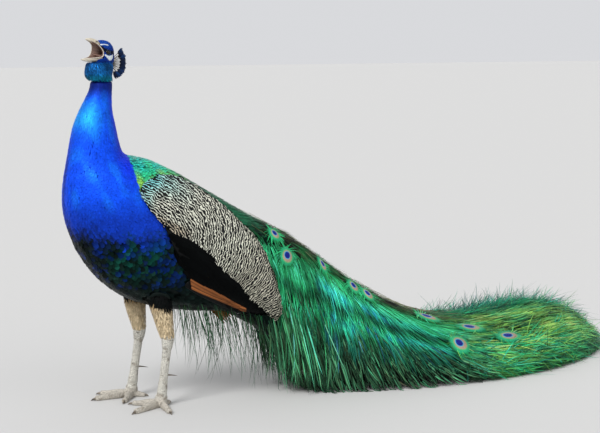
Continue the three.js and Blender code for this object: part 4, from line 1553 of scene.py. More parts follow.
def nodeTree(names):
    points, corners, start = [], [], 0
    for name in names:
        mesh = nodes[name].data
        points.append(inBird(readPoints(mesh)))
        corners.append(trianglesOf(mesh) + start)
        start += len(points[-1])
    return BVHTree.FromPolygons(np.concatenate(points).tolist(), np.concatenate(corners).tolist())


wingTrees = [nodeTree(pairOf(name)) for name in ("wing_coverts", "wing_secondaries", "wing_primaries")]


def wingZone(points):  # which of the three trees is nearest
    gaps = [[tree.find_nearest(spot)[3] for tree in wingTrees] for spot in points.tolist()]
    return np.array(gaps).argmin(1)


def wingUnwrap(points):
    run, above = alongLine(wingLine, points)[:2]
    half = np.where(points[:, 0] > 0, 0.0, 0.5)
    outer = np.abs(points[:, 0]) > 84
    row = np.where(outer, 0.13 + above / 640, 0.37 - above / 640)
    return stacked(0.03 + run / 560, np.clip(row, 0.004, 0.496) + half)


def wingBatch(name, index, vane, tone, yaw):
    sizes, guide = wingSet[name], guides["wings"]
    roots = scatter(guide, sizes["spacing"], within())
    sunk = np.where(roots[:, 1] < 0, wingSet["sunkFront"], wingSet["sunk"])
    roots = roots[(wingZone(roots) == index) & (depthIn("body", roots) < sunk)]
    size = np.exp(dice.normal(0, 0.07, len(roots)))
    lift = (-0.5, sizes["lift"] + dice.normal(0, 0.25, len(roots)))
    length, width = sizes["length"] * size, sizes["width"] * size
    batch = layVanes(guide, *vane, roots, wingFlow, length, width, lift, 0.4, yaw)
    tint(batch, tone(roots), 0.85, 1.05, 0.10)
    batch["bake"] = wingUnwrap(roots)
    return batch


def covertBatch():  # tone, bars and map run on over the whole wing, feather to feather
    batch = wingBatch("covert", 0, scaleVane, covertTone, 5)
    laid = batch["points"]
    flat = laid.reshape(-1, 3)
    batch["tone"] = covertTone(flat).reshape(laid.shape)
    batch["phase"] = covertPhase(flat).reshape(laid.shape[:2])
    batch["bakeMap"] = wingUnwrap(flat)
    return batch


def blackTone(spots):
    return flatTone(wingTones["black"], len(spots))


def rufousTone(spots):
    share = 0.8 * ramp(jitter(spots, 14, 3), 0, 1)
    return blendTone(flatTone(wingTones["rufous"], len(spots)), wingTones["rufousDark"], share)


coverts = covertBatch()
barredFinish = plumage("barredPlumage", 0.0, (0.5, 0.68), rimShade=0.25, rim=0.12, barbs=22, slant=1.4,
                       mottled=0.14, barbShade=0.14, barred=True, relief=0.3)
coatPiece("covertCoat", [coverts], barredFinish, "barred_plumage")
blackFinish = plumage("blackPlumage", 0.9, (0.30, 0.42), rimShade=0.0, barbs=60, slant=1.2, mottled=0.2,
                      barbShade=0.3, relief=0.3)
rufousFinish = plumage("rufousPlumage", 0.0, (0.5, 0.62), rim=0.25, barbs=60, slant=1.2, mottled=0.25,
                       barbShade=0.25, shaft=0.8, shaftTone=(0.16, 0.06, 0.02))
secondaries = wingBatch("secondary", 1, slimVane, blackTone, 2)
coatPiece("secondaryCoat", [secondaries], blackFinish, "black_plumage")

primarySet = {
    "front": 90, "back": 266, "high": (340, 316), "low": (238, 230), "rows": 7,
    "starts": (0, 0.2, 0.42, 0.64, 0.82), "rootOut": 92.0, "tipOut": 66.0, "width": 8.4, "farWidth": 13.0,
}


def outermost(place):  # how far out the wing or the body stands at each y and z
    found, trees = [], [guides[name]["tree"] for name in ("wings", "body")]
    for x, y, z in place.tolist():
        side = 1 if x > 0 else -1
        hits = [tree.ray_cast((side * 250, y, z), (-side, 0, 0))[0] for tree in trees]
        found.append(side * max([abs(hit.x) for hit in hits if hit] + [50]))
    return np.array(found)


def quillBatch(roots, path, up, width, tones, *strengths):
    batch = vanesAlong(*slimVane, path, np.broadcast_to(up, path.shape), width, 0.5)
    tint(batch, tones, *strengths)
    batch["bake"] = wingUnwrap(roots)
    return batch


def primaryBatches():  # long quills that close to a point behind
    spots, aims = [], []
    for side in sideSigns:
        for start in primarySet["starts"]:
            y = primarySet["front"] + (primarySet["back"] - primarySet["front"]) * start
            ends = zip(primarySet["high"], primarySet["low"])
            top, bottom = (high + (low - high) * start for high, low in ends)
            for row in np.linspace(0, 1, primarySet["rows"]):
                spots.append((side * primarySet["rootOut"], y + 4 * row, top + (bottom - top) * row))
                aims.append((side * primarySet["tipOut"], primarySet["back"] + 6, 230 + 4 * (1 - row)))
    spots, aims = np.array(spots), np.array(aims)
    marks = longVane["marks"][:, None, None]
    path = spots + (aims - spots) * 0.60 * marks
    for k in range(len(path)):  # they lie outside everything that is there
        path[k, :, 0] = outermost(path[k])
    path[1:-1, :, 0] = (path[:-2, :, 0] + path[1:-1, :, 0] * 2 + path[2:, :, 0]) / 4
    path[..., 0] += np.sign(path[..., 0]) * (1.6 + 2.2 * marks[..., 0])
    up = np.sign(spots[:, :1]) * np.array([1.0, 0, 0.12])
    near = quillBatch(spots, path, up, primarySet["width"], rufousTone(spots), 1.1, 0.85, 0.28)
    far = np.linspace(0, 1, 7)[None, :, None]  # the other wing's tips hang below the flank
    first = np.array([-24, 182, 246]) + far * np.array([-9, 44, 8])
    last = np.array([-24, 236, 186]) + far * np.array([-9, 32, 20])
    path = first + (last - first) * marks
    # painted light: the far wing's tips are 2.6 times lighter than their rufous, against the shade under the
    # flank
    tones = rufousTone(first[0]) * 2.6
    return [near, quillBatch(first[0], path, (0.6, 0.0, 0.8), primarySet["farWidth"], tones, 1, 1.1, 0.25)]


coatPiece("primaryCoat", primaryBatches(), rufousFinish, "rufous_plumage")

# the thighs

thighSet = {"spacing": 4.2, "length": 15, "width": 3.6, "lift": 1.3, "above": 186, "edge": 273, "slope": 0.36}


def thighFlow(place, normal, mark):
    return flatTone((0.0, 0.12, -1.0), len(place))


def thighBatch():
    guide = guides["thighs"]
    roots = scatter(guide, thighSet["spacing"], within(z=(thighSet["above"], 1e4)))
    roots = roots[depthIn("body", roots) < 4]
    length = thighSet["length"] * dice.uniform(0.5, 1.1, len(roots))
    lift = (-0.5, thighSet["lift"])
    batch = layVanes(guide, *slimVane, roots, thighFlow, length, thighSet["width"], lift, 0.3, 10)
    x, y, z = roots.T
    edge = thighSet["edge"] - thighSet["slope"] * np.clip(y + 5, 0, 70) + 5 * jitter(roots, 9, 14)
    # random darker patches, and painted shade towards the top of the thigh, under the belly
    darker = 0.35 * ramp(jitter(roots, 8, 12), 0.0, 0.8) + ramp(z, 250, 280)
    tones = layered(
        flatTone(wingTones["sand"], len(roots)),
        (wingTones["sandDark"], np.clip(darker, 0, 1)),
        (wingTones["black"], ramp(z, edge - 1, edge + 2)),  # the dark belly plumage hangs over
    )
    tint(batch, tones, 0.8, 1.08, 0.14)
    angle = np.where(x > 0, 0.27, 0.77) + np.arctan2(x - np.sign(x) * 54, y - 15) / 14
    batch["bake"] = stacked(angle, (z - 170) / 170)
    return batch


sandy = plumage("sandyPlumage", 0.0, (0.6, 0.75), rimShade=0.3, barbs=6, mottled=0.22, relief=0.4,
                specular=0.08)
coatPiece("thighCoat", [thighBatch()], sandy, "sandy_plumage")

# the train

trainSet = {
    "from": 240, "to": 1546, "step": 12.0, "slice": 9,  # where along y its edges are measured
    "spacing": 6.2, "length": (70, 125), "width": (1.8, 3.8), "lift": (2, 15),
    "bedDepth": 13, "clump": 15, "curtain": 2600, "wisps": 230, "tips": 3600, "shafts": 240,
    "end": 1550, "sides": (-426, 200),  # no strand goes past these
    "lowest": 0.3, "brightest": 0.85,
}
trainGuide = guides["train"]
stationsAt = np.arange(trainSet["from"], trainSet["to"], trainSet["step"])
edges = []
for at in stationsAt:
    ring = trainGuide["points"][np.abs(trainGuide["points"][:, 1] - at) < trainSet["slice"]]
    edges.append((ring[:, 0].min(), ring[:, 0].max(), ring[:, 2].max()))
edges = np.array(edges)
for turn in range(6):
    edges[1:-1] = (edges[:-2] + edges[1:-1] * 2 + edges[2:]) / 4
edgeSlopes = np.gradient(edges, stationsAt, axis=0)
downPull = ((330, 500, 620, 740, 800, 875, 950, 1100), (0.85, 0.80, 0.60, 0.40, 0.33, 0.25, 0.14, 0.05))


def trainPlace(points):  # side share from -1 to 1, how far down the flank, and the way the train runs
    y = points[:, 1]
    left, right, top = (np.interp(y, stationsAt, edges[:, i]) for i in range(3))
    middle, half = (left + right) / 2, (right - left) / 2
    share = (points[:, 0] - middle) / half
    slopeLeft, slopeRight = (np.interp(y, stationsAt, edgeSlopes[:, i]) for i in (0, 1))
    way = (slopeLeft + slopeRight) / 2 + share * (slopeRight - slopeLeft) / 2
    return share, np.clip(1 - points[:, 2] / top, 0, 1), way


def trainFlow(place, normal, mark, ease=1.0):  # along the train, bent down on its flanks
    fall, way = trainPlace(place)[1:]
    y = place[:, 1]
    ahead = alongSurface(unit(stacked(way, 1.0, np.interp(y, stationsAt, edgeSlopes[:, 2]))), normal)
    down = np.array([0, 0, -1.0]) + normal * normal[:, 2:3]
    pull = np.interp(y, *downPull) * ramp(fall, 0.0, 0.15)
    pull = np.clip(ease * pull * (0.75 + 0.5 * mark), 0, 0.95)[:, None]
    return ahead * (1 - pull) + 1.5 * down * pull


trainTones = {
    "emerald": (0.014, 0.33, 0.095),
    "bright": (0.055, 0.76, 0.30),
    "turquoise": (0.030, 0.60, 0.46),
    "blue": (0.010, 0.16, 0.56),
    "deep": (0.003, 0.042, 0.016),
    "black": (0.002, 0.008, 0.006),
    "strand": (0.040, 0.20, 0.10),
    "olive": (0.014, 0.034, 0.010),
    "bronze": (0.060, 0.058, 0.022),
    "yellow": (0.40, 0.88, 0.14),
    "tealTip": (0.005, 0.11, 0.09),
    "shaft": (0.24, 0.25, 0.14),
}
skirtLight = (  # how far down the flank, and how light the tiers of feathers are there: the tiers' own colour, lighter where each tier ends, with painted shade in the dark bands between tiers and low on the flank
    (0.0, 0.08, 0.13, 0.22, 0.27, 0.31, 0.37, 0.43, 0.47, 0.53, 0.7, 1.0),
    (0.2, 0.4, 0.8, 1.0, 0.7, 0.03, 0.35, 1.0, 0.6, 0.05, 0.06, 0.02),
)
tierEdges = (0.25, 0.45)


def trainTone(points):
    t = trainTones
    number = len(points)
    share, fall = trainPlace(points)[:2]
    y = points[:, 1]
    patchy, fine = jitter(points, 45, 41), jitter(points, 13, 42)
    wavy = fall + 0.020 * jitter(points, 60, 46) + 0.010 * np.sin(y / 23)
    light = np.interp(wavy, *skirtLight)
    flank = ramp(y, 300, 360) * (1 - ramp(y, 880, 1040))
    edge = sum(hump(wavy, at, 0.035) for at in tierEdges)
    # the laid fan: yellow-green streaks, darker to its edge
    streak = jitter(points, 9, 44, (1, 0.08, 1))
    laid = layered(
        flatTone(t["emerald"], number),
        (t["yellow"], 0.95 * ramp(streak, -0.2, 0.15) * (1 - ramp(np.abs(share - 0.55), 0.22, 0.55))),
        (t["bright"], 0.6 * ramp(-streak, 0.15, 0.6)),
        (t["deep"], 0.95 * ramp(jitter(points, 8, 47, (1, 0.1, 1)), 0.3, 0.6)),
        (t["tealTip"], 0.75 * ramp(-share + 0.3 * streak, -0.1, 0.6)),
        (t["blue"], 0.6 * ramp(jitter(points, 26, 48), 0.3, 0.8) * ramp(-share, 0.2, 0.6)),
        (t["tealTip"], 0.5 * ramp(y, 1330, 1500)),
    )
    # the ridge: olive and bronze stripes
    ridge = (1 - ramp(fall, 0.04, 0.13)) * (1 - ramp(y, 800, 930)) * ramp(y, 255, 330)
    stripes = np.sin(share * 60 + 2 * patchy)
    return layered(
        flatTone(t["deep"], number),
        (t["emerald"], ramp(light, 0.1, 0.5)),
        (t["bright"], ramp(light, 0.45, 0.9) * 0.95),
        (t["turquoise"], np.clip(edge * ramp(patchy, -0.5, 0.4) * ramp(y, 380, 470), 0, 0.9)),
        (t["blue"], np.clip(edge * ramp(fine, 0.35, 0.75) * ramp(y, 400, 480), 0, 0.85)),
        # painted shade: near black where the train starts, under the wings and belly
        (t["black"], 0.85 * (1 - ramp(y, 262, 330)) * (1 - flank)),
        (laid, ramp(y, 820, 1020)),
        (t["olive"], 0.9 * ridge),
        (t["bronze"], ridge * ramp(stripes, 0.1, 0.7)),
        (t["black"], ridge * ramp(-stripes, 0.2, 0.7)),
        (t["emerald"], 0.7 * ridge * ramp(jitter(points, 11, 49, (1, 0.2, 1)), 0.3, 0.6)),
    )


def trainUnwrap(roots):
    share, fall = trainPlace(roots)[:2]
    row = 0.5 + 0.24 * share + 0.22 * np.sign(share) * fall
    return stacked(0.02 + 0.96 * (roots[:, 1] - 90) / 1460, np.clip(row, 0.01, 0.99))


marksUp = longVane["marks"][:, None, None]


def clumped(path, roots, size, pullIn):  # strands draw together in locks, and share a tone
    longer = np.where(roots[:, 1] > 850, 6, 2.2)
    keys = stacked(roots[:, 1] / (size * longer), roots[:, 0] / size, roots[:, 2] / size)
    lock = np.unique(np.floor(keys).astype(int), axis=0, return_inverse=True)[1].ravel()
    count = np.bincount(lock)[:, None]
    tips = stacked(*(np.bincount(lock, row) for row in path[-1].T)) / count
    path += (tips[lock] - path[-1])[None] * pullIn * marksUp ** 1.6
    shade = np.exp(dice.normal(-0.06, 0.44, len(count)))
    return path, shade[lock]


def strandBatch(path, ups, roots, width, tones=None, tip=0.6, thick=0.5, curl=5.0, pullIn=0.5, size=None,
                placed=0.0):
    number = len(roots)
    length = np.linalg.norm(path[-1] - path[0], axis=1)
    path, shade = clumped(path.copy(), roots, size or trainSet["clump"], pullIn)
    bend = dice.normal(0, 1, (number, 3)) * np.array([1.0, 1.0, 0.6])
    path += bend[None] * curl * marksUp ** 2 * length[None, :, None] / 100
    path[..., 2] = np.maximum(path[..., 2], 1.0)
    path[..., 1] = np.minimum(path[..., 1], trainSet["end"])
    path[..., 0] = np.clip(path[..., 0], *trainSet["sides"])
    batch = vanesAlong(*slimVane, path, ups, width, thick)
    batch["points"][..., 2] = np.maximum(batch["points"][..., 2], trainSet["lowest"])
    batch["roots"] = roots
    shade = np.minimum(shade[:, None] * np.exp(dice.normal(0, 0.3, (number, 1))), 1.9)
    if tones is None:
        fall = trainPlace(roots)[1]
        # painted shade: lying strands low on the flank, in front of the fan, are darkened
        shade = shade * (1 - 0.75 * ramp(fall, 0.46, 0.56) * (1 - ramp(roots[:, 1], 820, 960)))[:, None]
        tones = trainTone(roots)
    tint(batch, np.minimum(tones * shade, trainSet["brightest"]), 1.0, tip)
    if placed:  # the bands of the train show where a strand has got to
        laid = batch["points"]
        there = trainTone(laid.reshape(-1, 3)).reshape(laid.shape) * shade[:, None]
        batch["tone"] = batch["tone"] * (1 - placed) + np.minimum(there, trainSet["brightest"]) * placed
    batch["bake"] = trainUnwrap(roots)
    return batch


def trainPath(spots, length, lift, yaw, rise=1.3, flow=trainFlow):
    path, ups = tracePath(trainGuide, longVane, spots, flow, length, lift, yaw, rise)
    path[..., 2] = np.maximum(path[..., 2], 1.0)
    return path, ups


def lyingStrands():
    roots = scatter(trainGuide, trainSet["spacing"], within(y=(255, 1e4), z=(6, 1e4)), crowd=2.0)
    roots = roots[depthIn("wings", roots) < 0]
    fall = trainPlace(roots)[1]
    bare = (fall > 0.5) & (roots[:, 1] < 900) & ((dice.random(len(roots)) < 0.6) | (roots[:, 2] < 45))
    bare |= (roots[:, 1] < 335) & (roots[:, 2] < 235) & (dice.random(len(roots)) < 0.88)
    roots, fall = roots[~bare], fall[~bare]
    number = len(roots)
    light = np.interp(fall, *skirtLight)
    layer = np.where(roots[:, 1] < 950, light * dice.uniform(0.5, 1, number), dice.random(number) ** 1.6)
    low, high = trainSet["lift"]
    length = dice.uniform(*trainSet["length"], number)
    path, ups = trainPath(roots, length, (-6 + 12 * layer, low + (high - low) * layer), 6, 1.2)
    return strandBatch(path, ups, roots, dice.uniform(*trainSet["width"], number), placed=0.75)


def fewer(spots, limit):
    if len(spots) <= limit:
        return spots
    return spots[np.sort(dice.choice(len(spots), limit, replace=False))]


def freeFall(start, length, first, last, ease):  # a line whose heading goes over from first to last
    path, at = [start], 0.0
    for step in np.diff(longVane["marks"]):
        at += step
        stay = (1 - at) ** ease
        path.append(path[-1] + unit(first * stay + last * (1 - stay)) * (step * length)[:, None])
    return np.array(path)


def hanging(roots, length, outward, sway, back):
    # free strands that leave the surface and hang to the floor
    place, normal = settle(trainGuide, roots)
    first = unit(trainFlow(place, normal, 0.0) + normal * outward)
    last = unit(stacked(dice.normal(0, sway, len(roots)), back + dice.normal(0, sway, len(roots)), -1.0))
    path = freeFall(place + normal * 2, length, first, last, 1.5)
    below = np.minimum(path[..., 2] - 1.5, 0)  # what would sink turns outward along the floor
    path[..., 2] -= below
    path[..., 0] -= below * dice.uniform(0.15, 1.1, len(roots)) * np.sign(normal[None, :, 0])
    path[..., 1] -= below * 0.4
    ups = normal * (1 - marksUp) + unit(normal * np.array([1, 1, 0.2]) + 1e-6) * marksUp
    return path, unit(ups)


curtainSet = {
    "spacing": 7.0, "along": (325, 960), "length": (45, 190), "width": (2.2, 4.2), "brighter": 1.3,
    "chance": ((0.24, 0.29, 0.30, 0.44, 0.45, 0.56, 0.6, 1), (0.3, 0.3, 0, 0, 1, 1, 0.55, 0.55)),
    "back": ((330, 500, 620, 740, 875, 960), (0.10, 0.20, 0.50, 1.0, 2.0, 4.0)),
}


def curtainStrands():
    sizes = curtainSet
    spots = scatter(trainGuide, sizes["spacing"], within(sizes["along"], (20, 1e4)))
    fall = trainPlace(spots)[1]
    spots = spots[(fall > 0.24) & (dice.random(len(spots)) < np.interp(fall, *sizes["chance"]))]
    spots = fewer(spots[depthIn("wings", spots) < 0], trainSet["curtain"])
    number = len(spots)
    length = np.clip(spots[:, 2] * dice.uniform(0.6, 1.15, number), *sizes["length"])
    path, ups = hanging(spots, length, 0.22, 0.13, np.interp(spots[:, 1], *sizes["back"]))
    tones = layered(
        trainTone(spots),
        (trainTones["strand"], 0.5 + 0.5 * dice.random(number)),
        (trainTones["bronze"], 0.5 * dice.random(number)),
    )
    tones = tones * np.exp(np.minimum(dice.normal(-0.35, 0.9, (number, 1)), 0.6)) * sizes["brighter"]
    width = dice.uniform(*sizes["width"], number)
    return strandBatch(path, ups, spots, width, tones, tip=0.9, curl=9, pullIn=0.6, size=22)


def wispStrands():  # the sparse ends that hang behind the legs, from under the wings
    number = trainSet["wisps"]
    spots = stacked(dice.uniform(-75, 80, number), dice.uniform(70, 330, number), 250.0)
    stations = (70, 200, 330)
    spots[:, 2] = np.interp(spots[:, 1], stations, (262, 246, 232)) + dice.uniform(-12, 12, number)
    length = dice.uniform(70, 215, number) * np.interp(spots[:, 1], stations, (0.8, 1.05, 1.2))
    last = unit(stacked(dice.normal(0, 0.14, number), 0.02 + dice.normal(0, 0.17, number), -1.0))
    first = unit(stacked(dice.normal(0, 0.2, number), 0.35, -1.0))
    path = freeFall(spots, length, first, last, 1.0)
    ups = np.broadcast_to((1.0, 0, 0), path.shape)
    tones = flatTone(np.array(trainTones["olive"]) * 1.6, number)
    tones = blendTone(tones, trainTones["strand"], 0.55 * dice.random(number))
    return strandBatch(path, ups, spots, dice.uniform(0.9, 1.5, number), tones, tip=1.0, curl=7, pullIn=0.05)


def tipStrands():  # loose curved ends that stand up along the far edge and the end of the fan
    spots = scatter(trainGuide, 7.5, within(y=(880, 1e4), z=(12, 1e4)))
    share = trainPlace(spots)[0]
    spots = spots[(share + 0.25 * jitter(spots, 60, 51) < -0.05) | (spots[:, 1] > 1380) | (share > 0.7)]
    spots = fewer(spots, trainSet["tips"])
    number = len(spots)
    share = trainPlace(spots)[0]
    length = dice.uniform(50, 115, number)
    high = dice.uniform(8, 52, number) * np.where(share < 0.3, 1.0, 0.35)
    path, ups = trainPath(spots, length, (2, high), 34, 1.7)
    tones = layered(
        trainTone(spots),
        (trainTones["tealTip"], (0.3 * (share < 0.3) + 0.7) * dice.random(number)),
        (trainTones["turquoise"], 0.35 * (dice.random(number) > 0.8)),
    )
    return strandBatch(path, ups, spots, dice.uniform(1.3, 2.2, number), tones, tip=1.0, curl=24, pullIn=0.25)


def shaftStrands():  # the pale quills that show along the ridge and across the flanks
    spots = scatter(trainGuide, 16.0, within(y=(265, 1150), z=(20, 1e4)))
    fall = trainPlace(spots)[1]
    chance = np.where(fall < 0.10, 0.25, 0.02) * np.where(spots[:, 1] > 800, 0.5, 1)
    spots = spots[dice.random(len(spots)) < chance][:trainSet["shafts"]]
    number = len(spots)
    length = dice.uniform(120, 260, number)
    lift = (dice.uniform(2, 8, number), dice.uniform(4, 10, number))

    def flow(place, normal, mark):
        return trainFlow(place, normal, mark, 0.25)

    path, ups = trainPath(spots, length, lift, 2, flow=flow)
    tones = blendTone(flatTone(trainTones["shaft"], number), trainTones["olive"], 0.75 * dice.random(number))
    return strandBatch(path, ups, spots, 0.9, tones, tip=0.8, curl=0.8, pullIn=0.0, thick=0.8)


def split(batch, limit=8600):  # pieces small enough to keep whole
    number = len(batch["points"])
    order = np.argsort(batch["roots"][:, 1], kind="stable")
    for part in np.array_split(order, math.ceil(number / limit)):
        yield {key: (value[part] if isinstance(value, np.ndarray) and len(value) == number else value)
               for key, value in batch.items()}


strands = plumage("trainPlumage", 0.45, (0.30, 0.46), rimShade=0.2, rim=0.5, barbs=14, slant=1.2, mottled=0.4,
                  barbShade=0.15, relief=0.3, specular=0.15)
for index, part in enumerate(split(lyingStrands())):
    coatPiece(f"trainCoat{index + 1}", [part], strands, "train_plumage")
coatPiece("trainCurtain", [curtainStrands()], strands, "train_plumage")
coatPiece("trainLoose", [wispStrands(), tipStrands(), shaftStrands()], strands, "train_plumage")

# the eye spots

spotSet = {
    # across x, along y and up z of the middle, and the web's half length and half width, in mm
    "seen": [
        ((79, 367, 376), 28, 25), ((55, 341, 432), 24, 17), ((40, 488, 338), 27, 15),
        ((52, 579, 272), 27, 16), ((58, 620, 247), 29, 17), ((54, 811, 158), 46, 21),
        ((70, 945, 124), 54, 22), ((92, 1061, 98), 52, 23), ((132, 875, 100), 37, 33),
    ],
    "lift": 15, "dish": 5, "thick": 20, "spacing": 105, "apart": 72,
    "stations": (300, 900, 1400), "lengths": (26, 36, 40), "widths": (23, 28, 30),
    "bakeSide": 0.034, "barbs": 30, "barbsAt": 0.72, "barbLength": (16, 34), "barbWidth": (1.4, 2.6),
}
spotTones = {
    "rings": (  # from the middle of a web to its rim
        (0.0, (0.44, 0.33, 0.27)), (0.50, (0.40, 0.30, 0.22)), (0.56, (0.22, 0.40, 0.16)),
        (0.64, (0.04, 0.46, 0.19)), (0.80, (0.018, 0.34, 0.16)), (1.0, (0.008, 0.14, 0.05)),
    ),
    "glow": (0.05, 0.42, 0.62),
    "heart": (0.006, 0.012, 0.24),
}


def patternDisc(name):  # one round web, with rings of faces to bend over the train
    deselectAll()
    bpy.ops.mesh.primitive_circle_add(vertices=22, radius=1, fill_type="NGON")
    disc = bpy.context.object
    disc.name = name
    openEdit()
    for turn in range(4):
        bpy.ops.mesh.inset(thickness=0.22)
    bpy.ops.mesh.poke()
    closeEdit()
    applyModifier(disc, "SOLIDIFY", thickness=0.03, offset=-1)
    openEdit()
    bpy.ops.mesh.quads_convert_to_tris()
    closeEdit()
    points, corners = takeShape(disc)
    return {"across": points[:, 0], "along": points[:, 1] * 0.5 + 0.5, "up": points[:, 2], "corners": corners}


def radius(tree, across, along):
    squares = (maths(tree, "POWER", maths(tree, "ABSOLUTE", value), 2.0) for value in (across, along))
    return maths(tree, "SQRT", plus(tree, *squares))


def eyeSpotFinish():
    material, tree, surface, coords, tone = startMaterial("eyeSpots", 0.45, 0.2)
    vane = put(tree, "ShaderNodeSeparateXYZ")
    wire(tree, (vaneMap(tree), vane.inputs[0]))
    across, along = (maths(tree, "MULTIPLY_ADD", vane.outputs[axis], 2.0, -1.0) for axis in (0, 1))
    ragged = swayed(tree, coords, 420, 0.10, 2.0)
    reach = plus(tree, radius(tree, across, along), ragged)
    # the dark heart sits nearer the root than the tan ring does
    heart = plus(tree, radius(tree, across, plus(tree, along, 0.10)), ragged)
    rings = put(tree, "ShaderNodeValToRGB")
    ramps = rings.color_ramp.elements
    for index, (position, colour) in enumerate((spotTones["rings"][0], spotTones["rings"][-1])):
        ramps[index].position, ramps[index].color = position, (*colour, 1)
    for position, colour in spotTones["rings"][1:-1]:
        ramps.new(position).color = (*colour, 1)
    turns = times(tree, maths(tree, "ARCTAN2", across, along), 46.0)
    barb = waveOf(tree, plus(tree, turns, times(tree, noise(tree, coords, 260, 1.0), 9.0)))
    wire(tree, (reach, rings.inputs[0]))
    factor = times(tree, unevenness(tree, coords, 0.25), maths(tree, "MULTIPLY_ADD", barb, 0.35, 0.75))
    core = minus(tree, 1.0, soften(tree, heart, 0.28, 0.33))
    glow = minus(tree, 1.0, soften(tree, heart, 0.34, 0.39))
    ringed = mixed(tree, core, mixed(tree, glow, rings.outputs[0], spotTones["glow"]), spotTones["heart"])
    colour = mixed(tree, 1.0, shaded(tree, ringed, factor), tone, "MULTIPLY")
    finishMaterial(tree, surface, colour, soften(tree, barb, 0, 1, 0.3, 0.45), barb, 0.35, 0.0006)
    return material


def spotPlaces():  # the nine on the near side, and others spread over the far side
    places = [np.array(place, float) for place, length, width in spotSet["seen"]]
    sizes = [(length, width) for place, length, width in spotSet["seen"]]
    extra = scatter(trainGuide, spotSet["spacing"], within(y=(400, 1e4), z=(40, 1e4)), crowd=7)
    share, fall = trainPlace(extra)[:2]
    fit = (fall < 0.6) & (((share < -0.25) & (extra[:, 1] < 1000)) | (share < -0.7))
    for spot in extra[fit]:
        if min(np.linalg.norm(spot - place) for place in places) > spotSet["apart"]:
            places.append(spot)
            rows = (spotSet["lengths"], spotSet["widths"])
            sizes.append([np.interp(spot[1], spotSet["stations"], row) for row in rows])
    return np.array(places), np.array(sizes)


disc = patternDisc("patternDisc")
places, sizes = spotPlaces()
place, normal = settle(trainGuide, places)
heading = alongSurface(trainFlow(place, normal, 0.5), normal)
side = np.cross(normal, heading)


def webBatch():
    across, ahead = disc["across"], disc["along"] * 2 - 1
    flat = (place[:, None] + side[:, None] * (across[None] * sizes[:, 1:2])[..., None]
            + heading[:, None] * (ahead[None] * sizes[:, :1])[..., None])
    ground, slope = settle(trainGuide, flat.reshape(-1, 3))
    high = spotSet["lift"] - spotSet["dish"] * (across ** 2 + ahead ** 2)
    laid = ground + slope * np.tile(high + disc["up"] * spotSet["thick"], len(places))[:, None]
    laid[:, 2] = np.maximum(laid[:, 2], 1)
    patch = spotSet["bakeSide"] * (unitMap(disc) - 0.5)[None] * np.array([1, 1.6])
    return {"points": laid.reshape(len(places), -1, 3), "pattern": disc, "tone": np.ones(3),
            "bakeMap": trainUnwrap(places)[:, None] + patch}


def fringeStrands():  # the loose barbs round each web
    t, number = trainTones, spotSet["barbs"]
    angle = np.tile(np.linspace(0, 2 * np.pi, number, endpoint=False), len(places))
    angle = angle + dice.normal(0, 0.05, number * len(places))
    which = np.repeat(np.arange(len(places)), number)
    aside, ahead = side[which], heading[which]
    halfLength, halfWidth = sizes[which].T * spotSet["barbsAt"]
    rim = (place[which] + aside * (np.sin(angle) * halfWidth)[:, None]
           + ahead * (np.cos(angle) * halfLength)[:, None])
    outward = unit(aside * np.sin(angle)[:, None] + ahead * (np.cos(angle) + 0.55)[:, None])

    def flow(spot, slope, mark):
        return outward + 0.6 * mark * trainFlow(spot, slope, mark)

    length = dice.uniform(*spotSet["barbLength"], len(rim))
    lift = (spotSet["lift"] - 3.5, spotSet["lift"] - 4)
    path, ups = trainPath(rim, length, lift, 6, flow=flow)
    tones = layered(
        flatTone(t["bright"], len(rim)),
        (t["emerald"], 0.3 + 0.7 * dice.random(len(rim))),
        (t["yellow"], 0.5 * (dice.random(len(rim)) > 0.75) * ramp(rim[:, 1], 700, 900)),
    )
    width = dice.uniform(*spotSet["barbWidth"], len(rim))
    return strandBatch(path, ups, rim, width, tones, tip=0.7, curl=4, pullIn=0.0)


coatPiece("eyeSpotWebs", [webBatch()], eyeSpotFinish(), "train_plumage")
coatPiece("eyeSpotFringes", [fringeStrands()], strands, "train_plumage")

# the bed under the strands, near black: painted shade in the depth of the train


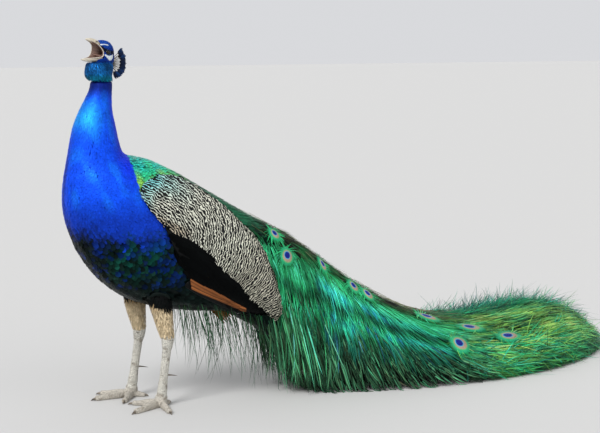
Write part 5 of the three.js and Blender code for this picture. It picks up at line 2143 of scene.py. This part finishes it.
def trainBed():
    bed = linked("trainBed", blanks["train"].data.copy())
    bed.data.name = "trainBed"
    place = birdPoints(bed)
    y, z = place.T[1:]
    under = trainSet["bedDepth"] + 42 * (1 - ramp(z, 30, 150)) * (1 - ramp(y, 800, 960))
    under += 34 * (1 - ramp(y, 300, 390)) * (1 - ramp(z, 190, 260))
    place = place - readPoints(bed.data, "normal") * under[:, None]
    place[:, 2] = np.maximum(place[:, 2], 0.5)
    placePoints(bed, place)
    # painted shade: the bed takes the train's tones at six hundredths, near black
    paint(bed.data, trainTone(place) * 0.06)
    down = grainFinish("trainShadeBed", 0.3, 0.1, (1, 0.12, 0.5), 420, (0.5, 1.4), (0.6, 0.8), 0.7, 0.002)
    finishPiece(bed, down, "train_plumage", *trainNodes)


trainBed()
for thing in list(blanks.values()):
    bpy.data.objects.remove(thing)
print("train ready")

# floor, light and camera

studioSet = {
    "floor": (0.55, 0.546, 0.535, 1), "floorSide": 60, "air": (0.96, 0.97, 1.0, 1), "airPower": 0.72,
    # where each lamp shines from, how wide it is in degrees, and its strength
    "lamps": {"keyLamp": ((2.2, -3.4, 4.2), 24, 2.4), "fillLamp": ((4.5, 2.6, 2.2), 60, 0.5)},
}
cameraSet = {"place": (3751.9, -1223.2, 1000.0), "azimuth": 66.0, "dip": 7.307, "lens": 90.54, "sensor": 36}


def studio():
    deselectAll()
    bpy.ops.mesh.primitive_plane_add(size=studioSet["floorSide"])
    floor = bpy.context.object
    floor.name = "studioFloor"
    material = bpy.data.materials.new("paleFloor")
    material.use_nodes = True
    surface = material.node_tree.nodes["Principled BSDF"].inputs
    surface["Base Color"].default_value = studioSet["floor"]
    surface["Roughness"].default_value = 0.8
    floor.data.materials.append(material)
    floor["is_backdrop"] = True
    world = bpy.data.worlds.new("studioAir")
    world.use_nodes = True
    air = world.node_tree.nodes["Background"].inputs
    air[0].default_value, air[1].default_value = studioSet["air"], studioSet["airPower"]
    scene.world = world
    for name, (place, spread, power) in studioSet["lamps"].items():
        lamp = bpy.data.lights.new(name, "SUN")
        lamp.angle = math.radians(spread)
        lamp.energy = power
        holder = linked(name, lamp)
        holder.location = place
        holder.rotation_euler = (-Vector(place)).to_track_quat("-Z", "Y").to_euler()


studio()
lens = bpy.data.cameras.new("camera")
lens.lens = cameraSet["lens"]
lens.sensor_width = cameraSet["sensor"]
camera = linked("camera", lens)
camera.location = inFrame(cameraSet["place"])
camera.rotation_euler = (math.radians(90 - cameraSet["dip"]), 0, math.radians(cameraSet["azimuth"]))
scene.camera = camera
scene.view_settings.view_transform = "Standard"
print("studio ready")

low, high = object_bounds()
